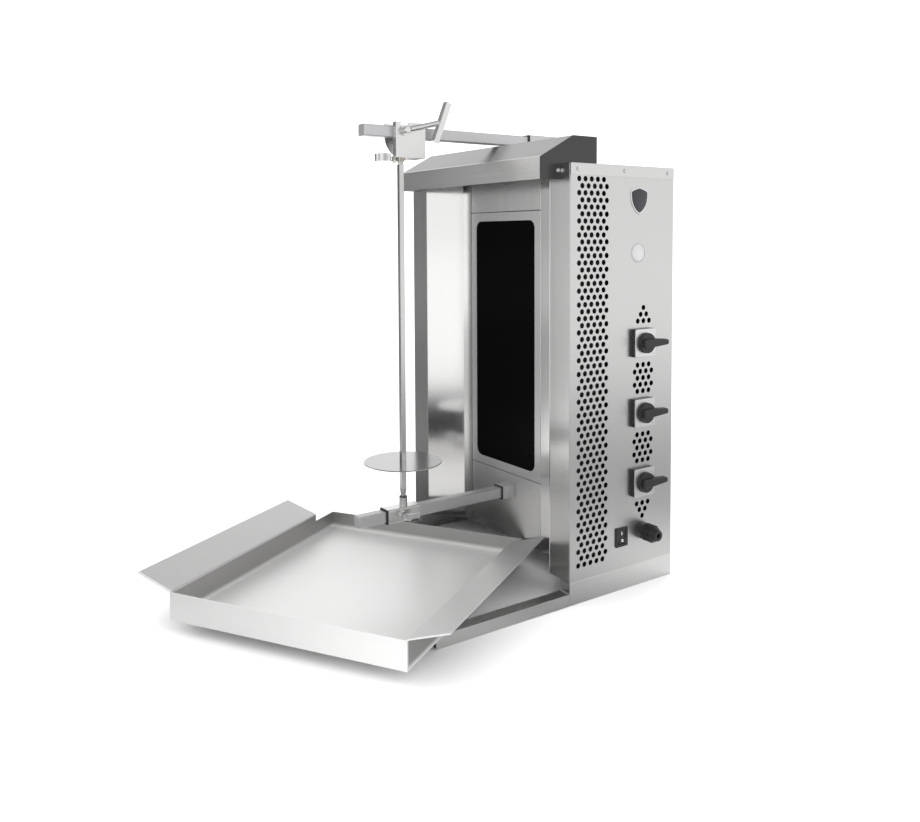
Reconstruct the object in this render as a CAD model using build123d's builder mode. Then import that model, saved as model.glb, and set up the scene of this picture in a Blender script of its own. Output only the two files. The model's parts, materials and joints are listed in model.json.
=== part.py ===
"""Upright open kebab grill: a sheet steel body with a recessed glass heater, two square arms that
carry a turning spit between sliding carriages, and a loose drip tray on the base rails.

Millimetres, +Z up, the heated side faces -Y. The origin is the middle of the underside of the
rear base crossbar."""

import os
from math import cos, radians, sin

from build123d import *

# Driving dimensions of the body
body_width = 550.0
body_depth = 275.0
body_height = 830.0
plinth_height = 44.0
bar_width = 26.0
rail_height = 23.0
rail_reach = 298.0
sheet = 1.5
thin_sheet = 1.2
gap = 0.3

# Recess and heater window in the heated side
column_width = 58.0
recess_depth = 58.0
back_plane_half = 153.0
window_half = 121.0
window_low = 187.0
window_high = 748.0
frame_margin = 19.5
seam = 0.8
panel_flange = 9.0
glass_thickness = 4.0

# Top cover and hood
cover_flange = 22.0
hood_half = 246.0
hood_reach = 48.0
hood_low = 800.0
hood_fold = 840.5
hood_top = 884.0
ridge_y = 32.0
hood_back = 93.0

# Perforation of the side panels
hole_radius = 5.4
hole_step_y = 15.6
hole_step_z = 13.0
hole_rows = 57
holes_in_row = 5
first_hole_y = 21.5
first_hole_z = 73.0

# Arms, carriages and spit
arm_size = 22.0
arm_wall = 2.0
lower_arm_z = 145.0
upper_arm_z = 898.5
lower_arm_reach = 300.0
upper_arm_reach = 281.5
socket_size = 28.0
socket_wall = 2.2
spit_reach = 197.5
spit_size = 10.0
journal_radius = 4.95
bush_bore = 5.0
disc_radius = 78.0
disc_z = 247.0
sleeve_ahead = 42.0
sleeve_behind = 31.5
wing_ahead = 9.5
bracket_low = 848.5
bracket_high = 916.5
clamp_y = -201.0
clamp_z = 900.7
clamp_arm_x = 31.0
lever_angle = 13.7
lever_length = 82.0
grip_tilt = 21.0
grip_length = 83.0

# Controls on the right side panel
switch_depth = 187.0
switch_heights = {"upper": 485.5, "middle": 347.5, "lower": 209.0}
switch_size = 55.0
switch_base = 9.5
knob_bore = 3.05
rocker_depth = 134.0
rocker_z = 106.0
rocker_tilt = 7.0
gland_depth = 196.0
gland_z = 106.5
cable_radius = 5.0

# Drip tray
tray_turn = 31.9
tray_width = 468.0
tray_length = 536.0
tray_wall = 49.8
tray_rear_wall = 35.0
tray_flap = 77.4
tray_flap_length = 463.0
tray_flap_rise = 17.5
tray_corner_x = -48.0
tray_corner_reach = 647.0

# Derived places
front_y = bar_width / 2 - body_depth
back_y = front_y + body_depth
half_width = body_width / 2
recess_y = front_y + recess_depth
column_inner = half_width - column_width
spit_y = front_y - spit_reach
sides = (("left", -1), ("right", 1))
floor_z = plinth_height + sheet
panel_low = floor_z + gap
panel_top = body_height - thin_sheet - gap
inner_half = half_width - sheet

os.makedirs("parts", exist_ok=True)


def save(item, name):
    """Label a finished piece and write it to its own file."""
    item.part.label = name
    export_step(item.part, f"parts/{name}.step")


def folded(points, thickness=sheet, side=Side.LEFT):
    """Closed section of a folded sheet, drawn in the sketch being built."""
    with BuildLine() as fold:
        Polyline(*points)
        offset(amount=thickness, side=side)
    make_face(fold.edges())


def square_ring(outer, inner, corner=2.0):
    """Square tube section, drawn in the sketch being built."""
    RectangleRounded(outer, outer, corner)
    RectangleRounded(inner, inner, max(corner - (outer - inner) / 2, 0.4), mode=Mode.SUBTRACT)


def depth_plane(y, x=0.0, z=0.0):
    """Plane facing the rear: sketch x is -X, sketch y is +Z, and extrusion runs along +Y."""
    return Plane(origin=(x, y, z), x_dir=(-1, 0, 0), z_dir=(0, 1, 0))


def side_plane(x, y=0.0, z=0.0):
    """Plane facing +X: sketch x is +Y, sketch y is +Z, and extrusion runs along +X."""
    return Plane(origin=(x, y, z), x_dir=(0, 1, 0), z_dir=(1, 0, 0))


# ---------------------------------------------------------------- base frame
for side_name, sign in sides:
    bar_x = sign * (half_width - bar_width / 2)

    with BuildPart() as plinth:
        with BuildSketch(depth_plane(front_y, bar_x, plinth_height / 2)):
            RectangleRounded(bar_width, plinth_height, 1.2)
        extrude(amount=body_depth)
        with BuildSketch(depth_plane(front_y + arm_wall, bar_x, plinth_height / 2)):
            Rectangle(bar_width - 2 * arm_wall, plinth_height - 2 * arm_wall)
        extrude(amount=body_depth, mode=Mode.SUBTRACT)
    save(plinth, f"plinth_{side_name}")

    with BuildPart() as rail:
        with BuildSketch(depth_plane(front_y - rail_reach, bar_x, rail_height / 2)):
            Rectangle(bar_width, rail_height)
            with Locations((0, sheet)):
                Rectangle(bar_width - 2 * sheet, rail_height, mode=Mode.SUBTRACT)
        extrude(amount=rail_reach - gap)
    save(rail, f"rail_{side_name}")

with BuildPart() as rail_end_caps:
    for _, sign in sides:
        cap_x = sign * (half_width - bar_width / 2)
        with BuildSketch(depth_plane(front_y - rail_reach, cap_x, (rail_height + sheet) / 2)):
            Rectangle(bar_width - 2 * sheet, rail_height - sheet - 1.0)
        extrude(amount=3.0)
save(rail_end_caps, "rail_end_caps")

with BuildPart() as rear_crossbar:
    with BuildSketch(side_plane(bar_width - half_width, 0, plinth_height / 2)):
        Rectangle(bar_width, plinth_height)
        Rectangle(bar_width - 2 * arm_wall, plinth_height - 2 * arm_wall, mode=Mode.SUBTRACT)
    extrude(amount=body_width - 2 * bar_width)
save(rear_crossbar, "rear_crossbar")

with BuildPart() as bottom_plate:
    with BuildSketch(Plane.XY.offset(plinth_height)):
        with BuildLine():
            Polyline(
                (-inner_half + gap, front_y + 3),
                (-column_inner - 2, front_y + 3),
                (-back_plane_half - 2, recess_y + 3),
                (back_plane_half + 2, recess_y + 3),
                (column_inner + 2, front_y + 3),
                (inner_half - gap, front_y + 3),
                (inner_half - gap, back_y - 3),
                (-inner_half + gap, back_y - 3),
                close=True,
            )
        make_face()
        with Locations((0, (recess_y + back_y) / 2 - 10)), GridLocations(60, 18, 6, 6):
            SlotOverall(40, 5, mode=Mode.SUBTRACT)
    extrude(amount=sheet)
save(bottom_plate, "bottom_plate")

# ---------------------------------------------------------------- outer panels
screw_depths = (18.0, 138.0, 258.0)
screw_z = body_height - cover_flange / 2
vent_centre = front_y + 192.0
vent_groups = (
    (528.0, (3, 2, 1)),
    (389.0, (3, 4, 3, 4, 3)),
    (250.5, (3, 4, 3, 4, 3)),
    (138.0, (1, 2, 3)),
)


def front_perforation():
    """The staggered strip of round holes along a side panel's front edge."""
    for row in range(hole_rows):
        shift = hole_step_y / 2 if row % 2 else 0.0
        middle = front_y + first_hole_y + shift + hole_step_y * (holes_in_row - 1) / 2
        with Locations((middle, first_hole_z + row * hole_step_z)):
            with GridLocations(hole_step_y, 1, holes_in_row, 1):
                Circle(hole_radius, mode=Mode.SUBTRACT)


for side_name, sign in sides:
    with BuildPart() as side_panel:
        with BuildSketch(side_plane(min(sign * half_width, sign * inner_half))):
            with Locations((front_y + body_depth / 2, (plinth_height + panel_top) / 2)):
                Rectangle(body_depth, panel_top - plinth_height)
            front_perforation()
            for depth in screw_depths:
                with Locations((front_y + depth, screw_z)):
                    Circle(2.1, mode=Mode.SUBTRACT)
            if side_name == "right":
                for low_z, counts in vent_groups:
                    for row, count in enumerate(counts):
                        with Locations((vent_centre, low_z + row * hole_step_z)):
                            with GridLocations(hole_step_y, 1, count, 1):
                                Circle(hole_radius, mode=Mode.SUBTRACT)
                for switch_z in switch_heights.values():
                    with Locations((front_y + switch_depth, switch_z)):
                        Circle(11.0, mode=Mode.SUBTRACT)
                with Locations((front_y + rocker_depth, rocker_z)):
                    Rectangle(27.0, 33.0, mode=Mode.SUBTRACT)
                with Locations((front_y + gland_depth, gland_z)):
                    Circle(12.3, mode=Mode.SUBTRACT)
        extrude(amount=sheet)
    save(side_panel, f"side_panel_{side_name}")

with BuildPart() as rear_panel:
    with BuildSketch(depth_plane(back_y - sheet)):
        with Locations((0, (panel_low + panel_top) / 2)):
            Rectangle(2 * (inner_half - gap), panel_top - panel_low)
        for group_z in (250.0, 620.0):
            with Locations((0, group_z)), GridLocations(130, 14, 3, 9):
                SlotOverall(90, 5, mode=Mode.SUBTRACT)
    extrude(amount=sheet)
save(rear_panel, "rear_panel")

with BuildPart() as top_cover:
    with BuildSketch(Plane.XY.offset(body_height - cover_flange)):
        with Locations((0, front_y + (body_depth + thin_sheet) / 2)):
            Rectangle(body_width + 2 * thin_sheet, body_depth + thin_sheet)
    extrude(amount=cover_flange)
    fillet(top_cover.edges().filter_by(Axis.Z).group_by(Axis.Y)[-1], radius=2.0)
    fillet(top_cover.faces().sort_by(Axis.Z)[-1].edges().sort_by(Axis.Y)[1:], radius=1.0)
    with BuildSketch(Plane.XY.offset(body_height - cover_flange)):
        with Locations((0, front_y - 5 + body_depth / 2)):
            Rectangle(body_width, body_depth + 10)
    extrude(amount=cover_flange - thin_sheet, mode=Mode.SUBTRACT)
    with BuildSketch(side_plane(-half_width - 5)):
        for depth in screw_depths:
            with Locations((front_y + depth, screw_z)):
                Circle(2.1)
    extrude(amount=body_width + 10, mode=Mode.SUBTRACT)
save(top_cover, "top_cover")

with BuildPart() as cover_screws:
    for _, sign in sides:
        for depth in screw_depths:
            head_plane = Plane(
                origin=(sign * (half_width + thin_sheet), front_y + depth, screw_z),
                x_dir=(0, 1, 0),
                z_dir=(sign, 0, 0),
            )
            with BuildSketch(head_plane):
                Circle(4.0)
            extrude(amount=1.8, taper=20)
            with BuildSketch(head_plane):
                Circle(2.0)
            extrude(amount=-8.0)
            with BuildSketch(head_plane.offset(1.0)):
                Rectangle(4.0, 0.9)
                Rectangle(0.9, 4.0)
            extrude(amount=2.0, mode=Mode.SUBTRACT)
save(cover_screws, "cover_screws")

# ---------------------------------------------------------------- heated side
for side_name, sign in sides:
    outwards = Side.LEFT if sign > 0 else Side.RIGHT

    with BuildPart() as column:
        with BuildSketch(Plane.XY.offset(panel_low)):
            folded(
                (
                    (sign * (column_inner + 1.2), front_y),
                    (sign * (inner_half - 0.2), front_y),
                    (sign * (inner_half - 0.2), front_y + 16.0),
                ),
                side=outwards,
            )
        extrude(amount=panel_top - panel_low)
        fillet(
            column.edges().filter_by(Axis.Z).group_by(Axis.Y)[0].sort_by(Axis.X)[0 if sign < 0 else -1],
            radius=1.2,
        )
    save(column, f"column_{side_name}")

    with BuildPart() as reflector:
        with BuildSketch(Plane.XY.offset(panel_low)):
            folded(
                (
                    (sign * (window_half + seam / 2), recess_y),
                    (sign * back_plane_half, recess_y),
                    (sign * (column_inner - 0.4), front_y),
                ),
                side=outwards,
            )
        extrude(amount=panel_top - panel_low)
    save(reflector, f"reflector_{side_name}")


def recess_panel(low_z, high_z):
    """A flanged panel of the recess's back, built into the part being made."""
    half = window_half - seam / 2
    with BuildSketch(depth_plane(recess_y)) as outside:
        with Locations((0, (low_z + high_z) / 2)):
            Rectangle(2 * half, high_z - low_z)
    solid = extrude(outside.sketch, amount=panel_flange)
    fillet(solid.faces().sort_by(Axis.Y)[0].edges(), radius=0.9)
    with BuildSketch(depth_plane(recess_y + sheet)) as inside:
        with Locations((0, (low_z + high_z) / 2)):
            Rectangle(2 * (half - sheet), high_z - low_z - 2 * sheet)
    extrude(inside.sketch, amount=panel_flange, mode=Mode.SUBTRACT)


with BuildPart() as upper_fascia:
    recess_panel(window_high + seam / 2, panel_top)
save(upper_fascia, "upper_fascia")

glass_middle = (window_low + window_high) / 2
glass_width = 2 * (window_half - frame_margin)
glass_height = window_high - window_low - 2 * frame_margin

with BuildPart() as window_frame:
    recess_panel(window_low + seam / 2, window_high - seam / 2)
    with BuildSketch(depth_plane(recess_y - 1, 0, glass_middle)):
        RectangleRounded(glass_width, glass_height, 17.0)
    extrude(amount=sheet + 2, mode=Mode.SUBTRACT)
save(window_frame, "window_frame")

with BuildPart() as lower_fascia:
    recess_panel(panel_low, window_low - seam / 2)
    with BuildSketch(depth_plane(recess_y - 1, 0, lower_arm_z)):
        RectangleRounded(socket_size + 0.4, socket_size + 0.4, 2.2)
    extrude(amount=sheet + 2, mode=Mode.SUBTRACT)
save(lower_fascia, "lower_fascia")

with BuildPart() as glass_panel:
    with BuildSketch(depth_plane(recess_y + sheet + 0.1, 0, glass_middle)):
        RectangleRounded(glass_width + 14, glass_height + 14, 20.0)
    extrude(amount=glass_thickness)
save(glass_panel, "glass_panel")

# ---------------------------------------------------------------- radiant heaters
heater_pitch = 174.0
heater_width = 200.0
heater_height = 166.0
heater_front = recess_y + 9.5
heater_back = heater_front + 24.0
heater_heights = {
    "lower": glass_middle - heater_pitch,
    "middle": glass_middle,
    "upper": glass_middle + heater_pitch,
}
coil_folds = 9
coil_step = 18.0
coil_half = 66.0

for zone, heater_z in heater_heights.items():
    with BuildPart() as heater_tray:
        with BuildSketch(depth_plane(heater_front, 0, heater_z)):
            RectangleRounded(heater_width, heater_height, 6.0)
        extrude(amount=heater_back - heater_front)
        with BuildSketch(depth_plane(heater_front, 0, heater_z)):
            RectangleRounded(heater_width - 2, heater_height - 2, 5.0)
        extrude(amount=heater_back - heater_front - 1.0, mode=Mode.SUBTRACT)
    save(heater_tray, f"heater_tray_{zone}")

    with BuildPart() as heater_coil:
        with BuildSketch(depth_plane(heater_front + 3.0, 0, heater_z)):
            path = []
            for fold in range(coil_folds):
                across = (fold - (coil_folds - 1) / 2) * coil_step
                ends = (-coil_half, coil_half) if fold % 2 else (coil_half, -coil_half)
                path += [(across, ends[0]), (across, ends[1])]
            folded(path, thickness=1.2)
        extrude(amount=6.0)
    save(heater_coil, f"heater_coil_{zone}")

with BuildPart() as heater_insulation:
    for heater_z in heater_heights.values():
        with BuildSketch(depth_plane(heater_front + 9.2, 0, heater_z)):
            RectangleRounded(heater_width - 3, heater_height - 3, 4.5)
        extrude(amount=13.5)
save(heater_insulation, "heater_insulation")

with BuildPart() as heater_carrier:
    carrier_half = window_half - seam / 2 - sheet - 0.1
    carrier_back = heater_back + 0.1 + thin_sheet
    with BuildSketch(Plane.XY.offset(window_low + 8)):
        folded(
            (
                (-carrier_half, recess_y + sheet + 1),
                (-carrier_half, carrier_back),
                (carrier_half, carrier_back),
                (carrier_half, recess_y + sheet + 1),
            ),
            thickness=thin_sheet,
            side=Side.RIGHT,
        )
    extrude(amount=window_high - window_low - 16)
    with BuildSketch(depth_plane(heater_back - 5, 0, glass_middle)):
        with GridLocations(0.1, heater_pitch, 1, 3):
            SlotOverall(110, 16)
    extrude(amount=12, mode=Mode.SUBTRACT)
save(heater_carrier, "heater_carrier")

# ---------------------------------------------------------------- hood
hood_outline = (
    (front_y - hood_reach, hood_low),
    (front_y - hood_reach, hood_fold),
    (front_y + ridge_y, hood_top),
    (front_y + hood_back, hood_top),
    (front_y + hood_back, body_height + gap),
)

with BuildPart() as hood:
    with BuildSketch(side_plane(-hood_half)):
        folded(hood_outline, thickness=thin_sheet, side=Side.RIGHT)
    extrude(amount=2 * hood_half)
    for cheek_x in (-hood_half, hood_half - thin_sheet):
        with BuildSketch(side_plane(cheek_x)):
            with BuildLine():
                Polyline(
                    *hood_outline,
                    (front_y - gap, body_height + gap),
                    (front_y - gap, hood_low),
                    close=True,
                )
            make_face()
        extrude(amount=thin_sheet)
    fillet(hood.edges().filter_by(Axis.X).group_by(Axis.Z)[-1].sort_by(Axis.Y)[0], radius=6.0)
    with BuildSketch(side_plane(-hood_half - 5)):
        with Locations((front_y - 4.5, hood_low + 17)):
            Circle(2.6)
    extrude(amount=2 * hood_half + 10, mode=Mode.SUBTRACT)
save(hood, "hood")

with BuildPart() as hood_rivets:
    for _, sign in sides:
        rivet_plane = Plane(
            origin=(sign * hood_half, front_y - 4.5, hood_low + 17),
            x_dir=(0, 1, 0),
            z_dir=(sign, 0, 0),
        )
        with BuildSketch(rivet_plane):
            Circle(4.2)
        extrude(amount=1.6, taper=30)
        with BuildSketch(rivet_plane):
            Circle(2.5)
        extrude(amount=-3.0)
save(hood_rivets, "hood_rivets")

# ---------------------------------------------------------------- arms and their sockets
lower_socket_y = recess_y - 15.0
lower_socket_length = 95.0
upper_socket_y = front_y + 118.0
upper_socket_length = 112.0
liner_lip = 3.0

with BuildPart() as lower_socket:
    with BuildSketch(depth_plane(lower_socket_y, 0, lower_arm_z)):
        square_ring(socket_size, socket_size - 2 * socket_wall)
    extrude(amount=lower_socket_length)
    with BuildSketch(depth_plane(recess_y + sheet + 0.2, 0, lower_arm_z)):
        RectangleRounded(70, 56, 4)
        RectangleRounded(socket_size - 1, socket_size - 1, 1.5, mode=Mode.SUBTRACT)
        with GridLocations(54, 0.1, 2, 1):
            Circle(2.2, mode=Mode.SUBTRACT)
    extrude(amount=2.5)
save(lower_socket, "lower_socket")

with BuildPart() as upper_socket:
    with BuildSketch(depth_plane(upper_socket_y, 0, upper_arm_z)):
        square_ring(socket_size, socket_size - 2 * socket_wall)
    extrude(amount=upper_socket_length)
    stand_top = upper_arm_z - socket_size / 2
    with BuildSketch(depth_plane(upper_socket_y, 0, (stand_top + body_height + 1) / 2)):
        Rectangle(socket_size, stand_top - body_height + 1)
        Rectangle(socket_size - 2 * socket_wall, stand_top - body_height + 1, mode=Mode.SUBTRACT)
    extrude(amount=upper_socket_length - 10)
    with BuildSketch(Plane.XY.offset(body_height)):
        with Locations((0, upper_socket_y + (upper_socket_length - 10) / 2)):
            Rectangle(72, upper_socket_length - 10)
            Rectangle(socket_size - 2 * socket_wall, upper_socket_length, mode=Mode.SUBTRACT)
            with GridLocations(54, 70, 2, 2):
                Circle(2.6, mode=Mode.SUBTRACT)
    extrude(amount=2.0)
save(upper_socket, "upper_socket")

with BuildPart() as socket_liners:
    for mouth_y, arm_z in ((lower_socket_y, lower_arm_z), (upper_socket_y, upper_arm_z)):
        with BuildSketch(depth_plane(mouth_y - liner_lip, 0, arm_z)):
            square_ring(socket_size, arm_size + 0.4)
        extrude(amount=liner_lip)
        with BuildSketch(depth_plane(mouth_y, 0, arm_z)):
            square_ring(socket_size - 2 * socket_wall - 0.1, arm_size + 0.4, 1.0)
        extrude(amount=25.0)
save(socket_liners, "socket_liners")


def square_arm(start_y, end_y, arm_z):
    """A square tube lying along Y, built into the part being made."""
    with BuildSketch(depth_plane(start_y, 0, arm_z)) as section:
        square_ring(arm_size, arm_size - 2 * arm_wall)
    extrude(section.sketch, amount=end_y - start_y)


with BuildPart() as lower_arm:
    square_arm(front_y - lower_arm_reach, lower_socket_y + lower_socket_length - 5, lower_arm_z)
save(lower_arm, "lower_arm")

with BuildPart() as upper_arm:
    square_arm(front_y - upper_arm_reach, upper_socket_y + upper_socket_length - 5, upper_arm_z)
save(upper_arm, "upper_arm")

with BuildPart() as arm_end_caps:
    for reach, arm_z in ((lower_arm_reach, lower_arm_z), (upper_arm_reach, upper_arm_z)):
        with BuildSketch(depth_plane(front_y - reach - 2.0, 0, arm_z)):
            RectangleRounded(arm_size, arm_size, 2.0)
        extrude(amount=2.0)
        with BuildSketch(depth_plane(front_y - reach, 0, arm_z)):
            RectangleRounded(arm_size - 2 * arm_wall - 0.2, arm_size - 2 * arm_wall - 0.2, 0.6)
        extrude(amount=12.0)
save(arm_end_caps, "arm_end_caps")

# ---------------------------------------------------------------- upper carriage
bracket_inner = arm_size / 2 + 9.5
bracket_plate = 2.2
bracket_outer = bracket_inner + bracket_plate
bracket_front = front_y - 220.5
bracket_back = front_y - 153.5
cap_front = front_y - 186.0
notch_radius = 8.0
guide_x = arm_size / 2 + 0.5
rivet_y = spit_y - 14.5
latch_plate = 2.5
latch_low = bracket_low - 7.5
latch_height = 14.5
latch_radius = 18.0
latch_y = rivet_y - 22.0

with BuildPart() as upper_bracket:
    for plate_x, is_left in ((bracket_inner, False), (-bracket_outer, True)):
        with BuildSketch(side_plane(plate_x)):
            with Locations(((bracket_front + bracket_back) / 2, (bracket_low + bracket_high) / 2)):
                outline = Rectangle(bracket_back - bracket_front, bracket_high - bracket_low)
            low_front = outline.vertices().group_by(Axis.Y)[0].sort_by(Axis.X)[0]
            fillet(low_front, radius=46.0 if is_left else 2.0)
            if not is_left:
                with Locations((front_y + clamp_y, clamp_z + 20)):
                    Rectangle(2 * notch_radius, 40, mode=Mode.SUBTRACT)
                with Locations((front_y + clamp_y, clamp_z)):
                    Circle(notch_radius, mode=Mode.SUBTRACT)
        extrude(amount=bracket_plate)
    with BuildSketch(Plane.XY.offset(bracket_low)):
        with Locations((0, (bracket_front + bracket_back) / 2)):
            RectangleRounded(2 * bracket_outer, bracket_back - bracket_front, 3.0)
        with Locations((0, spit_y)):
            Circle(8.0, mode=Mode.SUBTRACT)
        with Locations((0, rivet_y)):
            Circle(1.6, mode=Mode.SUBTRACT)
    extrude(amount=bracket_plate)
    with BuildSketch(Plane.XY.offset(upper_arm_z + arm_size / 2 + gap)):
        with Locations((0, (cap_front + bracket_back) / 2)):
            Rectangle(2 * bracket_inner + 1, bracket_back - cap_front)
    extrude(amount=bracket_plate)
    with BuildSketch(depth_plane(bracket_front)):
        with Locations((-(guide_x + bracket_outer) / 2, (bracket_low + bracket_high) / 2)):
            Rectangle(bracket_outer - guide_x, bracket_high - bracket_low)
    extrude(amount=bracket_plate)
    with BuildSketch(depth_plane(bracket_back - bracket_plate)):
        for sign in (-1, 1):
            with Locations((sign * (guide_x + bracket_inner + 1) / 2, upper_arm_z)):
                Rectangle(bracket_inner + 1 - guide_x, arm_size + 2)
    extrude(amount=bracket_plate)
save(upper_bracket, "upper_bracket")

with BuildPart() as top_bush:
    with BuildSketch(Plane.XY.offset(bracket_low - 6.0)):
        with Locations((0, spit_y)):
            Circle(7.9)
            Circle(bush_bore, mode=Mode.SUBTRACT)
    extrude(amount=14.0)
    with BuildSketch(Plane.XY.offset(bracket_low - 3.0)):
        with Locations((0, spit_y)):
            Circle(10.0)
            Circle(bush_bore, mode=Mode.SUBTRACT)
    extrude(amount=3.0)
save(top_bush, "top_bush")

with BuildPart() as latch_rivet:
    with BuildSketch(Plane.XY.offset(latch_low - gap - 1.5)):
        with Locations((0, rivet_y)):
            Circle(3.2)
    extrude(amount=1.5)
    with BuildSketch(Plane.XY.offset(latch_low - gap)):
        with Locations((0, rivet_y)):
            Circle(1.55)
    extrude(amount=bracket_low + bracket_plate - latch_low + gap)
    with BuildSketch(Plane.XY.offset(latch_low + latch_plate + gap)):
        with Locations((0, rivet_y)):
            Circle(4.0)
    extrude(amount=bracket_low - latch_low - latch_plate - gap)
    with BuildSketch(Plane.XY.offset(bracket_low + bracket_plate)):
        with Locations((0, rivet_y)):
            Circle(3.2)
    extrude(amount=1.5)
save(latch_rivet, "latch_rivet")

with BuildPart() as spit_latch:
    with BuildSketch(Plane.XY.offset(latch_low)):
        with Locations((0, latch_y)):
            Circle(latch_radius)
        with Locations((0, (rivet_y + latch_y) / 2)):
            Rectangle(10.0, rivet_y - latch_y)
        with Locations((0, rivet_y)):
            Circle(5.0)
            Circle(1.65, mode=Mode.SUBTRACT)
    extrude(amount=latch_plate)
    with BuildSketch(Plane.XY.offset(latch_low)):
        with Locations((0, latch_y)):
            Circle(latch_radius)
            Circle(latch_radius - latch_plate, mode=Mode.SUBTRACT)
            with Locations((0, latch_radius + 6.0)):
                Rectangle(2 * latch_radius + 2, 2 * latch_radius, mode=Mode.SUBTRACT)
    extrude(amount=latch_height)
save(spit_latch, "spit_latch")

clamp_plane = side_plane(arm_size / 2 + 0.1, front_y + clamp_y, clamp_z)

with BuildPart() as clamp_screw:
    with BuildSketch(clamp_plane):
        Circle(6.8)
    extrude(amount=clamp_arm_x - arm_size / 2 + 5.5)
    chamfer(clamp_screw.faces().sort_by(Axis.X)[-1].edges(), length=1.0)
    with BuildSketch(side_plane(bracket_outer + gap, front_y + clamp_y, clamp_z)):
        Circle(10.5)
    extrude(amount=2.0)
save(clamp_screw, "clamp_screw")

lever_direction = Vector(0, cos(radians(lever_angle)), sin(radians(lever_angle)))
grip_direction = Vector(0, sin(radians(grip_tilt)), cos(radians(grip_tilt)))
lever_start = Vector(clamp_arm_x, front_y + clamp_y, clamp_z) + lever_direction * 7.5
lever_end = Vector(clamp_arm_x, front_y + clamp_y, clamp_z) + lever_direction * lever_length

with BuildPart() as clamp_lever:
    with BuildSketch(Plane(origin=lever_start, z_dir=lever_direction)):
        Circle(5.3)
    extrude(amount=lever_length - 7.5)
    grip_start = lever_end - grip_direction * (grip_length / 2)
    with BuildSketch(Plane(origin=grip_start, x_dir=(1, 0, 0), z_dir=grip_direction)):
        RectangleRounded(13.0, 13.0, 1.2)
    extrude(amount=grip_length)
save(clamp_lever, "clamp_lever")

# ---------------------------------------------------------------- spit and disc
journal_low = lower_arm_z + arm_size / 2 + gap + 8.0
journal_top = bracket_low + 18.0
bar_low = 180.0
bar_point = 13.0
bar_high = bracket_low - 12.0

with BuildPart() as spit:
    with BuildSketch(Plane.XY.offset(bar_low)):
        with Locations((0, spit_y)):
            RectangleRounded(spit_size - 3.0, spit_size - 3.0, 0.8)
    with BuildSketch(Plane.XY.offset(bar_low + bar_point)):
        with Locations((0, spit_y)):
            RectangleRounded(spit_size, spit_size, 0.8)
    loft()
    with BuildSketch(Plane.XY.offset(bar_low + bar_point)):
        with Locations((0, spit_y)):
            RectangleRounded(spit_size, spit_size, 0.8)
    extrude(amount=bar_high - bar_low - bar_point)
    with BuildSketch(Plane.XZ.offset(-spit_y)):
        with BuildLine():
            Polyline(
                (0, journal_low),
                (journal_radius - 2, journal_low),
                (journal_radius, journal_low + 3),
                (journal_radius, bar_low - 1.5),
                (spit_size / 2 - 1.6, bar_low + 1),
                (spit_size / 2 - 1.6, bar_high - 1),
                (journal_radius, bar_high),
                (journal_radius, journal_top - 3),
                (journal_radius - 2, journal_top),
                (0, journal_top),
                close=True,
            )
        make_face()
    revolve(axis=Axis((0, spit_y, 0), (0, 0, 1)))
save(spit, "spit")

with BuildPart() as meat_disc:
    with BuildSketch(Plane.XY.offset(disc_z)):
        with Locations((0, spit_y)):
            Circle(disc_radius)
            Rectangle(spit_size + 2 * gap, spit_size + 2 * gap, mode=Mode.SUBTRACT)
    extrude(amount=2.0)
    fillet(meat_disc.edges().filter_by(GeomType.CIRCLE), radius=0.7)
save(meat_disc, "meat_disc")

hub_height = 14.0
hub_radius = 11.0

with BuildPart() as disc_hub:
    with BuildSketch(Plane.XY.offset(disc_z - hub_height)):
        with Locations((0, spit_y)):
            Circle(hub_radius)
            Rectangle(spit_size + 2 * gap, spit_size + 2 * gap, mode=Mode.SUBTRACT)
    extrude(amount=hub_height)
    with BuildSketch(side_plane(0, spit_y, disc_z - hub_height / 2)):
        Circle(2.05)
    extrude(amount=hub_radius + 1, mode=Mode.SUBTRACT)
save(disc_hub, "disc_hub")

with BuildPart() as disc_screw:
    with BuildSketch(side_plane(spit_size / 2 + gap, spit_y, disc_z - hub_height / 2)):
        Circle(2.0)
    extrude(amount=10.0)
    with BuildSketch(side_plane(spit_size / 2 + gap + 7.5, spit_y, disc_z - hub_height / 2)):
        Circle(4.5)
    extrude(amount=5.0)
    with BuildSketch(side_plane(spit_size / 2 + gap + 10.5, spit_y, disc_z - hub_height / 2)):
        Rectangle(9.0, 1.0)
    extrude(amount=3.0, mode=Mode.SUBTRACT)
save(disc_screw, "disc_screw")

# ---------------------------------------------------------------- lower carriage
sleeve_inner = arm_size + 2 * gap
sleeve_outer = sleeve_inner + 5.4
wing_bore = 3.1
wing_x = sleeve_outer / 2 + 12.0
wing_y = spit_y - wing_ahead

with BuildPart() as lower_sleeve:
    with BuildSketch(depth_plane(spit_y - sleeve_ahead, 0, lower_arm_z)):
        square_ring(sleeve_outer, sleeve_inner, 2.4)
    extrude(amount=sleeve_ahead + sleeve_behind)
    with BuildSketch(side_plane(sleeve_outer / 2 - 0.5, wing_y, lower_arm_z)):
        Circle(7.5)
    extrude(amount=6.5)
    with BuildSketch(side_plane(0, wing_y, lower_arm_z)):
        Circle(wing_bore)
    extrude(amount=40.0, mode=Mode.SUBTRACT)
save(lower_sleeve, "lower_sleeve")

cup_low = lower_arm_z + sleeve_outer / 2
cup_radius = 7.8
cup_height = 18.0

with BuildPart() as spit_cup:
    with BuildSketch(Plane.XY.offset(cup_low)):
        with Locations((0, spit_y)):
            Circle(cup_radius)
    extrude(amount=cup_height)
    chamfer(spit_cup.faces().sort_by(Axis.Z)[-1].edges(), length=1.2)
    with BuildSketch(Plane.XY.offset(journal_low - gap)):
        with Locations((0, spit_y)):
            Circle(bush_bore)
    extrude(amount=30.0, mode=Mode.SUBTRACT)
save(spit_cup, "spit_cup")

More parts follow.
